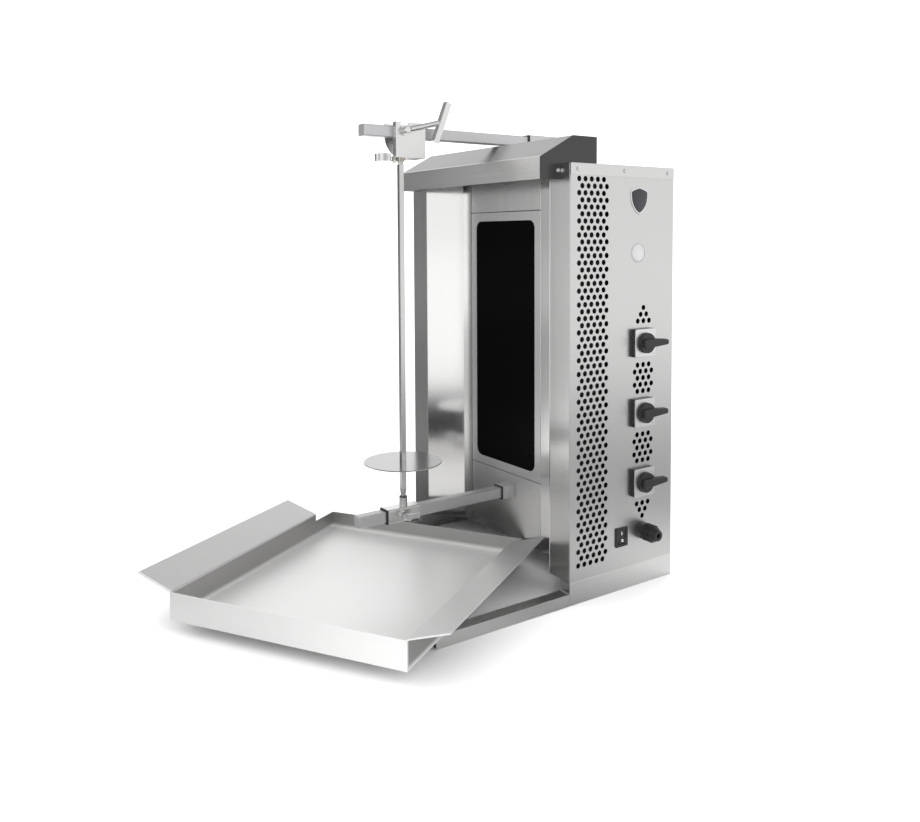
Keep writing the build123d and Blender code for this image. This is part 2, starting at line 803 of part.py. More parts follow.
with BuildPart() as wing_screw:
    with BuildSketch(side_plane(arm_size / 2 + 0.2, wing_y, lower_arm_z)):
        Circle(wing_bore - 0.08)
    extrude(amount=wing_x + 8.0 - arm_size / 2)
    with BuildSketch(side_plane(wing_x + gap, wing_y, lower_arm_z)):
        Circle(6.5)
    extrude(amount=14.0)
    for turn in (0, 180):
        with BuildSketch(side_plane(wing_x + 4.5, wing_y, lower_arm_z)):
            with Locations(Rotation(0, 0, turn)):
                with BuildLine():
                    FilletPolyline(
                        (3.0, -3.5), (14.0, -2.5), (25.0, -6.5), (27.0, 3.0), (14.0, 5.5), (3.0, 4.5),
                        radius=2.0,
                        close=True,
                    )
                make_face()
        extrude(amount=5.0)
save(wing_screw, "wing_screw")

# ---------------------------------------------------------------- controls
plate_thickness = 2.0
plate_x = half_width + switch_base
hub_low_x = plate_x + plate_thickness + gap
shaft_end = hub_low_x + 14.0


def switch_plane(x, height):
    """Plane facing outwards at one switch."""
    return side_plane(x, front_y + switch_depth, height)


with BuildPart() as switch_bodies:
    for switch_z in switch_heights.values():
        with BuildSketch(switch_plane(half_width, switch_z)):
            RectangleRounded(switch_size, switch_size, 2.5)
        extrude(amount=switch_base)
        with BuildSketch(switch_plane(inner_half - 1, switch_z)):
            Circle(10.5)
        extrude(amount=sheet + 2)
        with BuildSketch(switch_plane(inner_half - 56.0, switch_z)):
            RectangleRounded(44, 44, 3.0)
        extrude(amount=55.5)
        with BuildSketch(switch_plane(plate_x - 1, switch_z)):
            Circle(3.0)
        extrude(amount=shaft_end - plate_x + 1)
save(switch_bodies, "switch_bodies")

with BuildPart() as switch_plates:
    for switch_z in switch_heights.values():
        with BuildSketch(switch_plane(plate_x, switch_z)):
            RectangleRounded(switch_size, switch_size, 2.5)
            Circle(3.2, mode=Mode.SUBTRACT)
        extrude(amount=plate_thickness)
    fillet(switch_plates.faces().group_by(Axis.X)[-1].edges().filter_by(lambda e: e.length > 21), radius=0.6)
save(switch_plates, "switch_plates")

knob_radius = 20.5
knob_skirt = 7.0
grip_height = 10.0
grip_tail = -16.0
grip_tip = 52.0

for zone, switch_z in switch_heights.items():
    with BuildPart() as knob:
        with BuildSketch(switch_plane(hub_low_x, switch_z)):
            Circle(knob_radius)
        extrude(amount=knob_skirt, taper=6)
        with BuildSketch(switch_plane(hub_low_x + knob_skirt - 3, switch_z)):
            with BuildLine():
                Polyline((grip_tail, -9.0), (8.0, -9.0), (grip_tip, -5.5), (grip_tip, 5.5), (8.0, 9.0),
                         (grip_tail, 9.0), close=True)
            handle = make_face()
            fillet(handle.vertices(), radius=4.5)
        extrude(amount=grip_height, taper=5)
        fillet(knob.faces().sort_by(Axis.X)[-1].edges(), radius=2.0)
        with BuildSketch(switch_plane(hub_low_x - 1, switch_z)):
            Circle(knob_bore)
        extrude(amount=shaft_end - hub_low_x + 1 + gap, mode=Mode.SUBTRACT)
    save(knob, f"knob_{zone}")

rocker_y = front_y + rocker_depth
rocker_width = 19.0
rocker_height = 26.0
rocker_pivot_x = half_width - 3.0
rocker_pin = 1.5

with BuildPart() as rocker_housing:
    with BuildSketch(side_plane(half_width, rocker_y, rocker_z)):
        RectangleRounded(32.0, 38.0, 2.0)
    extrude(amount=3.0)
    fillet(rocker_housing.faces().sort_by(Axis.X)[-1].edges(), radius=1.0)
    with BuildSketch(side_plane(half_width - 26.0, rocker_y, rocker_z)):
        Rectangle(26.4, 32.4)
    extrude(amount=26.5)
    with BuildSketch(side_plane(half_width - 12.0, rocker_y, rocker_z)):
        Rectangle(rocker_width + 1.0, rocker_height + 1.6)
    extrude(amount=30.0, mode=Mode.SUBTRACT)
    with BuildSketch(depth_plane(rocker_y - rocker_width / 2 - 2.2, rocker_pivot_x, rocker_z)):
        Circle(rocker_pin + 0.1)
    extrude(amount=rocker_width + 4.4, mode=Mode.SUBTRACT)
save(rocker_housing, "rocker_housing")

rocker_lean = (cos(radians(rocker_tilt)), 0, sin(radians(rocker_tilt)))
rocker_end = rocker_height / 2 - 0.6

with BuildPart() as rocker:
    with BuildSketch(
        Plane(
            origin=(rocker_pivot_x, rocker_y - rocker_width / 2, rocker_z),
            x_dir=rocker_lean,
            z_dir=(0, -1, 0),
        )
    ):
        with BuildLine():
            Polyline(
                (-6.0, -7.0), (1.0, 0.4 - rocker_end), (6.5, -rocker_end), (4.6, 0.0),
                (6.5, rocker_end), (1.0, rocker_end - 0.4), (-6.0, 7.0), close=True,
            )
        make_face()
    extrude(amount=-rocker_width)
    with BuildSketch(depth_plane(rocker_y - rocker_width / 2 - 1.8, rocker_pivot_x, rocker_z)):
        Circle(rocker_pin)
    extrude(amount=rocker_width + 3.6)
save(rocker, "rocker")

gland_y = front_y + gland_depth

with BuildPart() as cable_gland:
    with BuildSketch(side_plane(half_width, gland_y, gland_z)):
        RegularPolygon(radius=16.5, side_count=6)
    extrude(amount=7.0)
    with BuildSketch(side_plane(inner_half - 12.0, gland_y, gland_z)):
        Circle(12.0)
    extrude(amount=12.0 + sheet + 22.0)
    with BuildSketch(side_plane(inner_half - 6.5, gland_y, gland_z)):
        RegularPolygon(radius=17.0, side_count=6)
    extrude(amount=6.2)
    with BuildSketch(side_plane(inner_half - 20.0, gland_y, gland_z)):
        Circle(cable_radius + 1.5)
    extrude(amount=60.0, mode=Mode.SUBTRACT)
save(cable_gland, "cable_gland")

gland_nut_length = 33.0
gland_ribs = 14

with BuildPart() as gland_nut:
    nut_plane = side_plane(half_width + 7.3, gland_y, gland_z)
    with BuildSketch(nut_plane):
        Circle(16.2)
        with PolarLocations(16.2, gland_ribs):
            Rectangle(2.2, 3.2)
    extrude(amount=20.0)
    with BuildSketch(nut_plane.offset(20.0)):
        Circle(15.6)
    extrude(amount=gland_nut_length - 20.0, taper=22)
    with BuildSketch(nut_plane.offset(-1)):
        Circle(12.05)
    extrude(amount=18.0, mode=Mode.SUBTRACT)
    with BuildSketch(nut_plane):
        Circle(cable_radius)
    extrude(amount=50.0, mode=Mode.SUBTRACT)
save(gland_nut, "gland_nut")

with BuildPart() as terminal_block:
    with BuildSketch(Plane.XY.offset(floor_z)):
        with Locations((half_width - 70.0, back_y - 60.0)):
            Rectangle(84.0, 24.0)
    extrude(amount=16.0)
    with BuildSketch(Plane.XY.offset(floor_z + 8)):
        with Locations((half_width - 70.0, back_y - 60.0)), GridLocations(14.0, 12.0, 5, 2):
            Circle(3.0)
    extrude(amount=20.0, mode=Mode.SUBTRACT)
save(terminal_block, "terminal_block")

# ---------------------------------------------------------------- drip tray
turn = radians(tray_turn)
across = Vector(cos(turn), sin(turn), 0)
along = Vector(-sin(turn), cos(turn), 0)
tray_corner = Vector(tray_corner_x, front_y - tray_corner_reach, rail_height + gap)
flap_out = tray_flap * cos(radians(tray_flap_rise))
flap_up = tray_wall + tray_flap * sin(radians(tray_flap_rise))


def tray_plane(distance):
    """Upright plane across the tray, at a distance behind its front wall."""
    return Plane(origin=tray_corner + along * distance, x_dir=across, z_dir=-along)


with BuildPart() as tray:
    with BuildSketch(tray_plane(0)):
        folded(
            (
                (-flap_out, flap_up),
                (0, tray_wall),
                (0, 0),
                (tray_width, 0),
                (tray_width, tray_wall),
                (tray_width + flap_out, flap_up),
            )
        )
    extrude(amount=-tray_flap_length)
    with BuildSketch(tray_plane(tray_flap_length)):
        folded(((0, tray_rear_wall), (0, 0), (tray_width, 0), (tray_width, tray_rear_wall)))
    extrude(amount=tray_flap_length - tray_length)
    with BuildSketch(tray_plane(0)):
        with Locations((tray_width / 2, tray_wall / 2)):
            Rectangle(tray_width, tray_wall)
    extrude(amount=-sheet)
    with BuildSketch(tray_plane(tray_length - sheet)):
        with Locations((tray_width / 2, tray_rear_wall / 2)):
            Rectangle(tray_width, tray_rear_wall)
    extrude(amount=-sheet)
save(tray, "tray")
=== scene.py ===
"""Looks of an upright electric kebab grill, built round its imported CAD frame.

The file is laid out as an add-on: property groups hold the sizes and colours that a user would change,
operators make or dress the pieces, and main() runs them in order. All lengths are metres in the frame of
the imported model."""

import json
from math import cos, pi, radians, sin

import bmesh
import bpy
from mathutils import Matrix, Vector

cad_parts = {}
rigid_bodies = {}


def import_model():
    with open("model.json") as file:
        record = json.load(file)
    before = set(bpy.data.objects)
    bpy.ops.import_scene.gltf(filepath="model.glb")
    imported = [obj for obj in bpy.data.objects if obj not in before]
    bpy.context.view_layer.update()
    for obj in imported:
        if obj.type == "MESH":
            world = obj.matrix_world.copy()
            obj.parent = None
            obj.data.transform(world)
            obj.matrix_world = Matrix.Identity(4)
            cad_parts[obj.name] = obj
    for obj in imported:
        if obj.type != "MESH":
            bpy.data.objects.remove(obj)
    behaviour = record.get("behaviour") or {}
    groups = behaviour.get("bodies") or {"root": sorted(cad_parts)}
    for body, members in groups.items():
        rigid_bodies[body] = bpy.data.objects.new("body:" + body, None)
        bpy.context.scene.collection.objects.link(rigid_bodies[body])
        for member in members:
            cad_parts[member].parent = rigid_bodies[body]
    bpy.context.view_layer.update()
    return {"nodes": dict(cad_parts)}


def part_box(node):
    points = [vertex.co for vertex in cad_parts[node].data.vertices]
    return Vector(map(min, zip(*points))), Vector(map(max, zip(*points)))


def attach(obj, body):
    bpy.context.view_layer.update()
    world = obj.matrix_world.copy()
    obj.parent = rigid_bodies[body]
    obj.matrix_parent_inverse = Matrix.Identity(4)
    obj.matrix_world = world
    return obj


bl_info = {
    "name": "Kebab grill",
    "version": (1, 0, 0),
    "blender": (4, 5, 0),
    "location": "3D View > Sidebar > Kebab grill",
    "description": "Dresses a packed kebab grill in steel, glass and moulded plastic",
    "category": "Object",
}

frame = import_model()
NODES = frame["nodes"]


# ---------------------------------------------------------------- shader maths
class Wire:
    """A socket that Python arithmetic turns into Math nodes."""

    def __init__(self, graph, socket):
        self.graph = graph
        self.socket = socket

    def math(self, operation, *values):
        inputs = dict(enumerate(values))
        return self.graph.node("ShaderNodeMath", {"operation": operation}, inputs)

    def __add__(self, other):
        return self.math("ADD", self, other)

    def __radd__(self, other):
        return self.math("ADD", other, self)

    def __sub__(self, other):
        return self.math("SUBTRACT", self, other)

    def __rsub__(self, other):
        return self.math("SUBTRACT", other, self)

    def __mul__(self, other):
        return self.math("MULTIPLY", self, other)

    def __rmul__(self, other):
        return self.math("MULTIPLY", other, self)

    def __pow__(self, other):
        return self.math("POWER", self, other)

    def dot(self, direction):
        """How far a vector points along a fixed direction."""
        settings = {"operation": "DOT_PRODUCT"}
        return self.graph.node("ShaderNodeVectorMath", settings, {0: self, 1: direction}, output=1)

    def above(self, low, high):
        """0 below low, 1 above high, smooth between them."""
        settings = {"interpolation_type": "SMOOTHSTEP"}
        inputs = {"Value": self, "From Min": low, "From Max": high}
        return self.graph.node("ShaderNodeMapRange", settings, inputs)


class Graph:
    """A node tree and the one way in which nodes are added to it."""

    def __init__(self, owner):
        owner.use_nodes = True
        self.tree = owner.node_tree
        self.tree.nodes.clear()

    def node(self, kind, settings=None, inputs=None, output=0):
        """Add a node, set it up, feed its sockets and return one output."""
        made = self.tree.nodes.new(kind)
        for name, value in (settings or {}).items():
            if name == "stops":
                self.set_stops(made.color_ramp.elements, value)
            else:
                setattr(made, name, value)
        for key, value in (inputs or {}).items():
            if isinstance(value, Wire):
                self.tree.links.new(value.socket, made.inputs[key])
            else:
                made.inputs[key].default_value = value
        return Wire(self, made.outputs[output] if made.outputs else None)

    @staticmethod
    def set_stops(elements, stops):
        while len(elements) < len(stops):
            elements.new(1.0)
        for element, (position, colour) in zip(elements, stops):
            element.position = position
            element.color = colour

    def place(self, scale=(1.0, 1.0, 1.0), turn=0.0):
        """The piece's own coordinates, turned about Z and then scaled."""
        coords = self.node("ShaderNodeTexCoord", output=3)
        if turn:
            coords = self.node("ShaderNodeMapping", {}, {"Vector": coords, "Rotation": (0.0, 0.0, turn)})
        return self.node("ShaderNodeMapping", {}, {"Vector": coords, "Scale": scale})

    def axes(self):
        """The three coordinates of a point of the piece."""
        coords = self.node("ShaderNodeTexCoord", output=3)
        split = self.node("ShaderNodeSeparateXYZ", {}, {"Vector": coords}).socket.node
        return [Wire(self, split.outputs[i]) for i in range(3)]

    def noise(self, vector, scale, detail=2.0, roughness=0.5):
        inputs = {"Vector": vector, "Scale": scale, "Detail": detail, "Roughness": roughness}
        return self.node("ShaderNodeTexNoise", {"noise_dimensions": "3D"}, inputs)

    def mix(self, factor, first, second):
        """A colour between two, by a factor."""
        settings = {"data_type": "RGBA", "clamp_factor": True}
        return self.node("ShaderNodeMix", settings, {0: factor, 6: first, 7: second}, output=2)

    def bump(self, height, strength, distance):
        inputs = {"Height": height, "Strength": strength, "Distance": distance}
        return self.node("ShaderNodeBump", {}, inputs)

    def principled(self, **inputs):
        """Finish the tree with a Principled shader whose sockets are given by name."""
        named = {name.replace("_", " "): value for name, value in inputs.items()}
        shader = self.node("ShaderNodeBsdfPrincipled", {}, named)
        self.node("ShaderNodeOutputMaterial", {}, {"Surface": shader})


def grey(level, warmth=0.0):
    """A near-neutral colour; a positive warmth leans to yellow, a negative one to blue."""
    return (level * (1 + warmth), level, level * (1 - warmth), 1.0)


# ---------------------------------------------------------------- sizes and colours
class GrillStage(bpy.types.PropertyGroup):
    """Camera, floor and light."""

    eye: bpy.props.FloatVectorProperty(
        name="Eye", description="Where the camera stands", size=3, subtype="XYZ", unit="LENGTH",
        default=(1.4645, -1.3261, 0.6926),
    )
    azimuth: bpy.props.FloatProperty(
        name="Azimuth", description="Turn of the camera round the grill", subtype="ANGLE",
        default=radians(55.492),
    )
    pitch: bpy.props.FloatProperty(
        name="Pitch", description="Tilt of the camera below level", subtype="ANGLE", default=radians(3.125),
    )
    roll: bpy.props.FloatProperty(
        name="Roll", description="Turn of the camera about its own axis", subtype="ANGLE",
        default=radians(-0.278),
    )
    lens: bpy.props.FloatProperty(
        name="Lens", description="Focal length in millimetres", min=1.0, default=33.71,
    )
    shift: bpy.props.FloatProperty(
        name="Shift", description="Vertical shift of the picture", default=-0.137,
    )
    floor_size: bpy.props.FloatProperty(
        name="Floor size", description="Side of the square floor", unit="LENGTH", default=80.0,
    )
    floor_level: bpy.props.FloatProperty(
        name="Floor whiteness", description="Albedo of the floor", min=0.0, max=1.0, default=0.88,
    )
    sun_power: bpy.props.FloatProperty(
        name="Overhead light", description="Irradiance of the broad overhead light", min=0.0, default=0.75,
    )


class GrillFinish(bpy.types.PropertyGroup):
    """Colours and polish of the materials."""

    steel: bpy.props.FloatVectorProperty(
        name="Steel", description="Colour of the stainless steel", size=3, subtype="COLOR",
        default=(0.8, 0.797, 0.792), min=0.0, max=1.0,
    )
    steel_roughness: bpy.props.FloatProperty(
        name="Steel roughness", description="Added to each steel finish", min=-0.2, max=0.5, default=0.0,
    )
    glass: bpy.props.FloatVectorProperty(
        name="Glass", description="Body colour of the heater glass", size=3, subtype="COLOR",
        default=(0.0014, 0.0014, 0.0016), min=0.0, max=1.0,
    )
    plastic: bpy.props.FloatVectorProperty(
        name="Plastic", description="Colour of the black mouldings", size=3, subtype="COLOR",
        default=(0.011, 0.011, 0.012), min=0.0, max=1.0,
    )
    brass: bpy.props.FloatVectorProperty(
        name="Brass", description="Colour of the bush", size=3, subtype="COLOR",
        default=(0.68, 0.63, 0.54), min=0.0, max=1.0,
    )
    badge: bpy.props.FloatVectorProperty(
        name="Badge", description="Field colour of the blank shield plate", size=3, subtype="COLOR",
        default=(0.02, 0.021, 0.026), min=0.0, max=1.0,
    )


def length(name, description, default):
    """A length property in metres."""
    return bpy.props.FloatProperty(name=name, description=description, unit="LENGTH", min=0.0, default=default)


class GrillDetail(bpy.types.PropertyGroup):
    """Sizes of the small added pieces."""

    rim_width: length("Rim width", "Width of the rolled edge inside each punched hole", 0.00025)
    rim_depth: length("Rim depth", "Depth of the rolled edge inside each punched hole", 0.0007)
    shield_width: length("Shield width", "Width of the blank shield plate", 0.05)
    shield_height: length("Shield height", "Height of the blank shield plate", 0.055)
    round_plate: length("Round plate", "Diameter of the blank round plate", 0.038)
    mark_length: length("Mark length", "Length of the bar on the rocker", 0.0065)
    liner_wall: length("Liner wall", "Thickness of the black liner rings", 0.0014)
    liner_length: length("Liner length", "How far a liner ring stands out of its tube", 0.0035)
    # the screens are near-black sheets whose colour is painted shade inside the cabinet
    screen_gap: length("Screen gap", "How far a heat screen hangs behind its side panel", 0.013)
    screen_inset: length("Screen inset", "Clearance round a heat screen, and its lip", 0.008)
    screen_width: length("Screen width", "Depth of a heat screen from front to rear", 0.135)
    screen_sheet: length("Screen sheet", "Thickness of a heat screen", 0.0008)
    weld_radius: length("Weld radius", "Half width of a weld bead", 0.0011)


# ---------------------------------------------------------------- finishes
def settings_of(group):
    return getattr(bpy.context.scene, group)


def colour_of(name, factor=1.0):
    """A colour of the finish settings, scaled."""
    return tuple(min(c * factor, 1.0) for c in getattr(settings_of("grill_finish"), name)) + (1.0,)


def finish(name):
    """Start a new material and return it with its graph."""
    material = bpy.data.materials.new(name)
    return material, Graph(material)


ALONG_X = (7.0, 620.0, 620.0)
ALONG_Y = (620.0, 7.0, 620.0)
ALONG_Z = (620.0, 620.0, 7.0)
TRAY_TURN = radians(-31.9)
HOOD_LIP = 0.0405


def brushed_steel(name, level, roughness, grain, turn=0.0, contrast=0.06, tints=(), bloom=None):
    """Stainless sheet with a brushed grain that runs along one axis.

    level scales the steel colour, and each part's level is partly painted light and shade, set to how bright
    that part looks under the studio; grain is the noise's scale along each axis, and the small one is the
    direction of the lines; tints recolour parts of the piece, as (mask maker, factor), and give painted shade
    on the hood's slope and on the tray's walls, painted light at a reflector's foot, and the hood's darker
    cheeks; bloom makes a mask of where scouring has greyed the polish."""
    material, g = finish(name)
    lines = g.noise(g.place(grain, turn), 1.0, detail=3.0, roughness=0.65)
    streaks = g.noise(g.place([s / 9 for s in grain], turn), 1.0, detail=2.0)
    clouds = g.noise(g.place((1.0, 1.0, 1.0), turn), 5.0, detail=3.0, roughness=0.55)
    tone = lines * 0.45 + streaks * 0.35 + clouds * 0.2
    colour = g.mix(tone, colour_of("steel", level * (1 - contrast)), colour_of("steel", level * (1 + contrast)))
    # painted shade and painted light are laid on here, each by its mask
    for mask_maker, darkness in tints:
        colour = g.mix(mask_maker(g), colour, colour_of("steel", level * darkness))
    base = roughness + settings_of("grill_finish").steel_roughness
    g.principled(
        Base_Color=colour,
        Metallic=1.0 if bloom is None else 0.96 - bloom(g),
        Roughness=base - 0.06 + tone * 0.08 + clouds * 0.04,
        Normal=g.bump(lines * 0.7 + streaks * 0.3, 0.14, 0.0003),
    )
    return material


def hood_cheeks(g):
    """The hood's two cheeks are coloured much darker than the rest of the hood."""
    x, _, _ = g.axes()
    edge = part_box("hood")[1].x - 0.0012
    return x.math("ABSOLUTE", x).above(edge, edge + 0.0005)


def painted_slope_shade(g):
    """Painted shade: the hood's sloping sheet is coloured darker than its lip."""
    _, _, z = g.axes()
    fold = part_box("hood")[0].z + HOOD_LIP
    return z.above(fold, fold + 0.004)


def tray_zones(g):
    """Masks of the drip tray's floor, of its front wall and of its other walls."""
    turned = g.node("ShaderNodeSeparateXYZ", {}, {"Vector": g.place(turn=TRAY_TURN)}).socket.node
    reach, height = Wire(g, turned.outputs[1]), Wire(g, turned.outputs[2])
    spin = Matrix.Rotation(TRAY_TURN, 3, "Z")
    front = min((spin @ vertex.co).y for vertex in NODES["tray"].data.vertices)
    low = min(vertex.co.z for vertex in NODES["tray"].data.vertices)
    front_wall = 1.0 - reach.above(front + 0.003, front + 0.005)
    floor = 1.0 - height.above(low + 0.002, low + 0.006)
    walls = height.above(low + 0.003, low + 0.012) * (1.0 - height.above(low + 0.046, low + 0.05))
    return floor, front_wall, walls * (1.0 - front_wall)


def tray_bloom(g):
    """Fine scouring that greys the polish on the drip tray's floor and on its front wall."""
    floor, front_wall, _ = tray_zones(g)
    return floor.math("MAXIMUM", floor * 0.34, front_wall * 0.36)


def tray_walls(g):
    """The drip tray's walls other than the front one, which the tray's own shade darkens."""
    return tray_zones(g)[2]


def painted_foot_light(g):
    """Painted light: the colour is lightened towards the foot of a reflector."""
    _, _, z = g.axes()
    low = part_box("reflector_left")[0].z
    return 1.0 - z.above(low + 0.02, low + 0.2)


def smooth_metal(name, colour, roughness, wear=0.1):
    """Turned or plated metal with fine scratches and a little uneven polish."""
    material, g = finish(name)
    rub = g.noise(g.place(), 60.0, detail=4.0, roughness=0.6)
    fine = g.noise(g.place((1.0, 1.0, 3.0)), 900.0, detail=2.0)
    darker = tuple(c * (1 - wear) for c in colour[:3]) + (1.0,)
    g.principled(
        Base_Color=g.mix(rub, darker, colour),
        Metallic=1.0,
        Roughness=rub * 0.12 + (roughness - 0.05),
        Normal=g.bump(fine, 0.08, 0.0002),
    )
    return material


def moulded_plastic(name, colour, roughness, grain=1400.0):
    """Injection moulded plastic: fine spark-eroded texture and faint handling marks."""
    material, g = finish(name)
    grains = g.noise(g.place(), grain, detail=2.0)
    rub = g.noise(g.place(), 35.0, detail=3.0)
    lighter = tuple(min(c * 1.6 + 0.004, 1.0) for c in colour[:3]) + (1.0,)
    g.principled(
        Base_Color=g.mix(rub * 0.6, colour, lighter),
        Roughness=rub * 0.12 + (roughness - 0.06),
        Normal=g.bump(grains, 0.25, 0.0001),
    )
    return material


def black_glass(name):
    """Black glass-ceramic: a hard clear surface over a speckled dark body."""
    material, g = finish(name)
    specks = g.node("ShaderNodeTexVoronoi", {"feature": "F1"}, {"Vector": g.place(), "Scale": 420.0})
    mask = 1.0 - specks.above(0.1, 0.2)
    wave = g.noise(g.place(), 9.0, detail=1.0)
    g.principled(
        Base_Color=g.mix(mask * 0.3, colour_of("glass"), colour_of("glass", 6.0)),
        Roughness=mask * 0.1 + 0.06,
        Specular_IOR_Level=0.03,
        Normal=g.bump(wave, 0.03, 0.001),
    )
    return material


STEELS = {
    # name: level, partly painted light and shade per part, roughness, grain, further settings
    "steel_side": (0.88, 0.32, ALONG_Z, {}),
    "steel_rear": (0.93, 0.3, ALONG_Z, {}),
    "steel_level": (0.93, 0.3, ALONG_X, {}),
    "steel_bar": (1.0, 0.28, ALONG_Y, {}),
    "steel_column": (0.88, 0.24, ALONG_Z, {}),
    # painted light: the reflector's colour is lighter towards its foot
    "steel_reflector": (1.04, 0.13, ALONG_Z, {"contrast": 0.03, "tints": ((painted_foot_light, 1.1),)}),
    "steel_recess": (0.96, 0.24, ALONG_Z, {}),
    # painted shade on the hood's sloping sheet; the cheeks are coloured much darker
    "steel_hood": (1.1, 0.26, ALONG_X, {"tints": ((painted_slope_shade, 0.56), (hood_cheeks, 0.1))}),
    "steel_tube": (0.84, 0.24, ALONG_Y, {}),
    "steel_carriage": (1.08, 0.24, ALONG_Y, {}),
    "steel_spit": (0.94, 0.2, ALONG_Z, {}),
    "steel_disc": (0.72, 0.16, ALONG_X, {"contrast": 0.03}),
    "steel_tray": (1.12, 0.4, ALONG_Y, {
        "turn": TRAY_TURN, "contrast": 0.02, "bloom": tray_bloom, "tints": ((tray_walls, 0.5),),
    }),
}
OTHERS = {
    "metal_plated": lambda name: smooth_metal(name, grey(0.82), 0.2),
    "metal_satin": lambda name: smooth_metal(name, grey(0.86), 0.34, wear=0.04),
    "metal_brass": lambda name: smooth_metal(name, colour_of("brass"), 0.25),
    "metal_aluminised": lambda name: smooth_metal(name, grey(0.55), 0.45),
    "metal_heater_alloy": lambda name: smooth_metal(name, (0.2, 0.17, 0.15, 1.0), 0.5, wear=0.4),
    "glass_black": black_glass,
    "plastic_black": lambda name: moulded_plastic(name, colour_of("plastic"), 0.36),
    "plastic_knob": lambda name: moulded_plastic(name, colour_of("plastic", 1.2), 0.42, grain=900.0),
    "plastic_white": lambda name: moulded_plastic(name, grey(0.78, 0.01), 0.4),
    "plastic_badge": lambda name: moulded_plastic(name, colour_of("badge"), 0.22),
    # near-black matte sheet: painted shade for the dark inside of the cabinet, seen through the punched holes
    "enamel_dark": lambda name: moulded_plastic(name, grey(0.004), 0.75, grain=500.0),
    "print_grey": lambda name: moulded_plastic(name, grey(0.2), 0.5),
    "terminal_white": lambda name: moulded_plastic(name, (0.78, 0.75, 0.68, 1.0), 0.3),
    "fibre_board": lambda name: moulded_plastic(name, (0.7, 0.67, 0.6, 1.0), 0.85, grain=260.0),
}


def material(name):
    """The named finish, made when it is first asked for."""
    if name in bpy.data.materials:
        return bpy.data.materials[name]
    if name in STEELS:
        level, roughness, grain, more = STEELS[name]
        return brushed_steel(name, level, roughness, grain, **more)
    return OTHERS[name](name)


def dress(rows):
    """Give each CAD node of the rows its finish."""
    for name, nodes in rows.items():
        for node in nodes:
            slots = NODES[node].data.materials
            slots.clear()
            slots.append(material(name))


SHEETS = {
    "steel_side": ("side_panel_left", "side_panel_right"),
    "steel_rear": ("rear_panel",),
    "steel_level": ("top_cover", "bottom_plate"),
    "steel_column": ("column_left", "column_right"),
    "steel_reflector": ("reflector_left", "reflector_right"),
    "steel_recess": ("upper_fascia", "window_frame", "lower_fascia"),
    "steel_hood": ("hood",),
}
BASE = {
    "steel_bar": ("plinth_left", "plinth_right", "rail_left", "rail_right"),
    "steel_level": ("rear_crossbar",),
    "plastic_black": ("rail_end_caps",),
}
HEATING = {
    "glass_black": ("glass_panel",),
    "metal_aluminised": ("heater_tray_upper", "heater_tray_middle", "heater_tray_lower", "heater_carrier"),
    "metal_heater_alloy": ("heater_coil_upper", "heater_coil_middle", "heater_coil_lower"),
    "fibre_board": ("heater_insulation",),
    "terminal_white": ("terminal_block",),
}
CARRIAGES = {
    "steel_tube": ("upper_arm", "lower_arm", "upper_socket", "lower_socket", "arm_end_caps"),
    "steel_carriage": ("upper_bracket", "lower_sleeve", "spit_cup", "clamp_lever", "clamp_screw", "spit_latch"),
    "plastic_black": ("socket_liners",),
    "metal_brass": ("top_bush",),
}
SPIT = {
    "steel_spit": ("spit", "disc_hub"),
    "steel_disc": ("meat_disc",),
}
CONTROLS = {
    "metal_satin": ("switch_plates",),
    "plastic_black": ("switch_bodies", "rocker_housing", "rocker", "cable_gland", "gland_nut"),
    "plastic_knob": ("knob_upper", "knob_middle", "knob_lower"),
}
FASTENERS = {
    "metal_plated": ("cover_screws", "hood_rivets", "latch_rivet", "disc_screw", "wing_screw"),
}
TRAY = {"steel_tray": ("tray",)}


# ---------------------------------------------------------------- making pieces
def keep(name, mesh, body, finish_name):
    """Put a finished mesh in the scene, riding on a body."""
    piece = bpy.data.objects.new(name, mesh)
    bpy.context.scene.collection.objects.link(piece)
    mesh.materials.clear()
    mesh.materials.append(material(finish_name))
    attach(piece, body)
    return piece


def mesh_of(name, shape, smooth_angle=None):
    """A mesh from a bmesh, with its normals turned outwards."""
    bmesh.ops.remove_doubles(shape, verts=shape.verts, dist=1e-7)
    bmesh.ops.recalc_face_normals(shape, faces=shape.faces)
    mesh = bpy.data.meshes.new(name)
    shape.to_mesh(mesh)
    shape.free()
    if smooth_angle is not None:
        mesh.shade_smooth()
        mesh.set_sharp_from_angle(angle=smooth_angle)
    return mesh


CREASE = radians(40)


def loft(shape, rings, cap_start=True, cap_end=True):
    """Join closed rings of points by quads, with a cap at each end where wanted."""
    loops = [[shape.verts.new(point) for point in ring] for ring in rings]
    count = len(loops[0])
    for first, second in zip(loops, loops[1:]):
        for i in range(count):
            j = (i + 1) % count
            shape.faces.new((first[i], first[j], second[j], second[i]))
    if cap_start:
        shape.faces.new(list(reversed(loops[0])))
    if cap_end:
        shape.faces.new(loops[-1])
    return loops


def hoop(shape, rings):
    """Join closed rings of points into a closed hoop without caps."""
    loft(shape, list(rings) + [rings[0]], False, False)


def outer_face(node, sign=1):
    """X of a node's outermost flat side."""
    low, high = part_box(node)
    return high.x if sign > 0 else low.x


# ---------------------------------------------------------------- punched holes
SMALLEST_HOLE = 0.004
LARGEST_HOLE = 0.0075
FEWEST_HOLES = 200


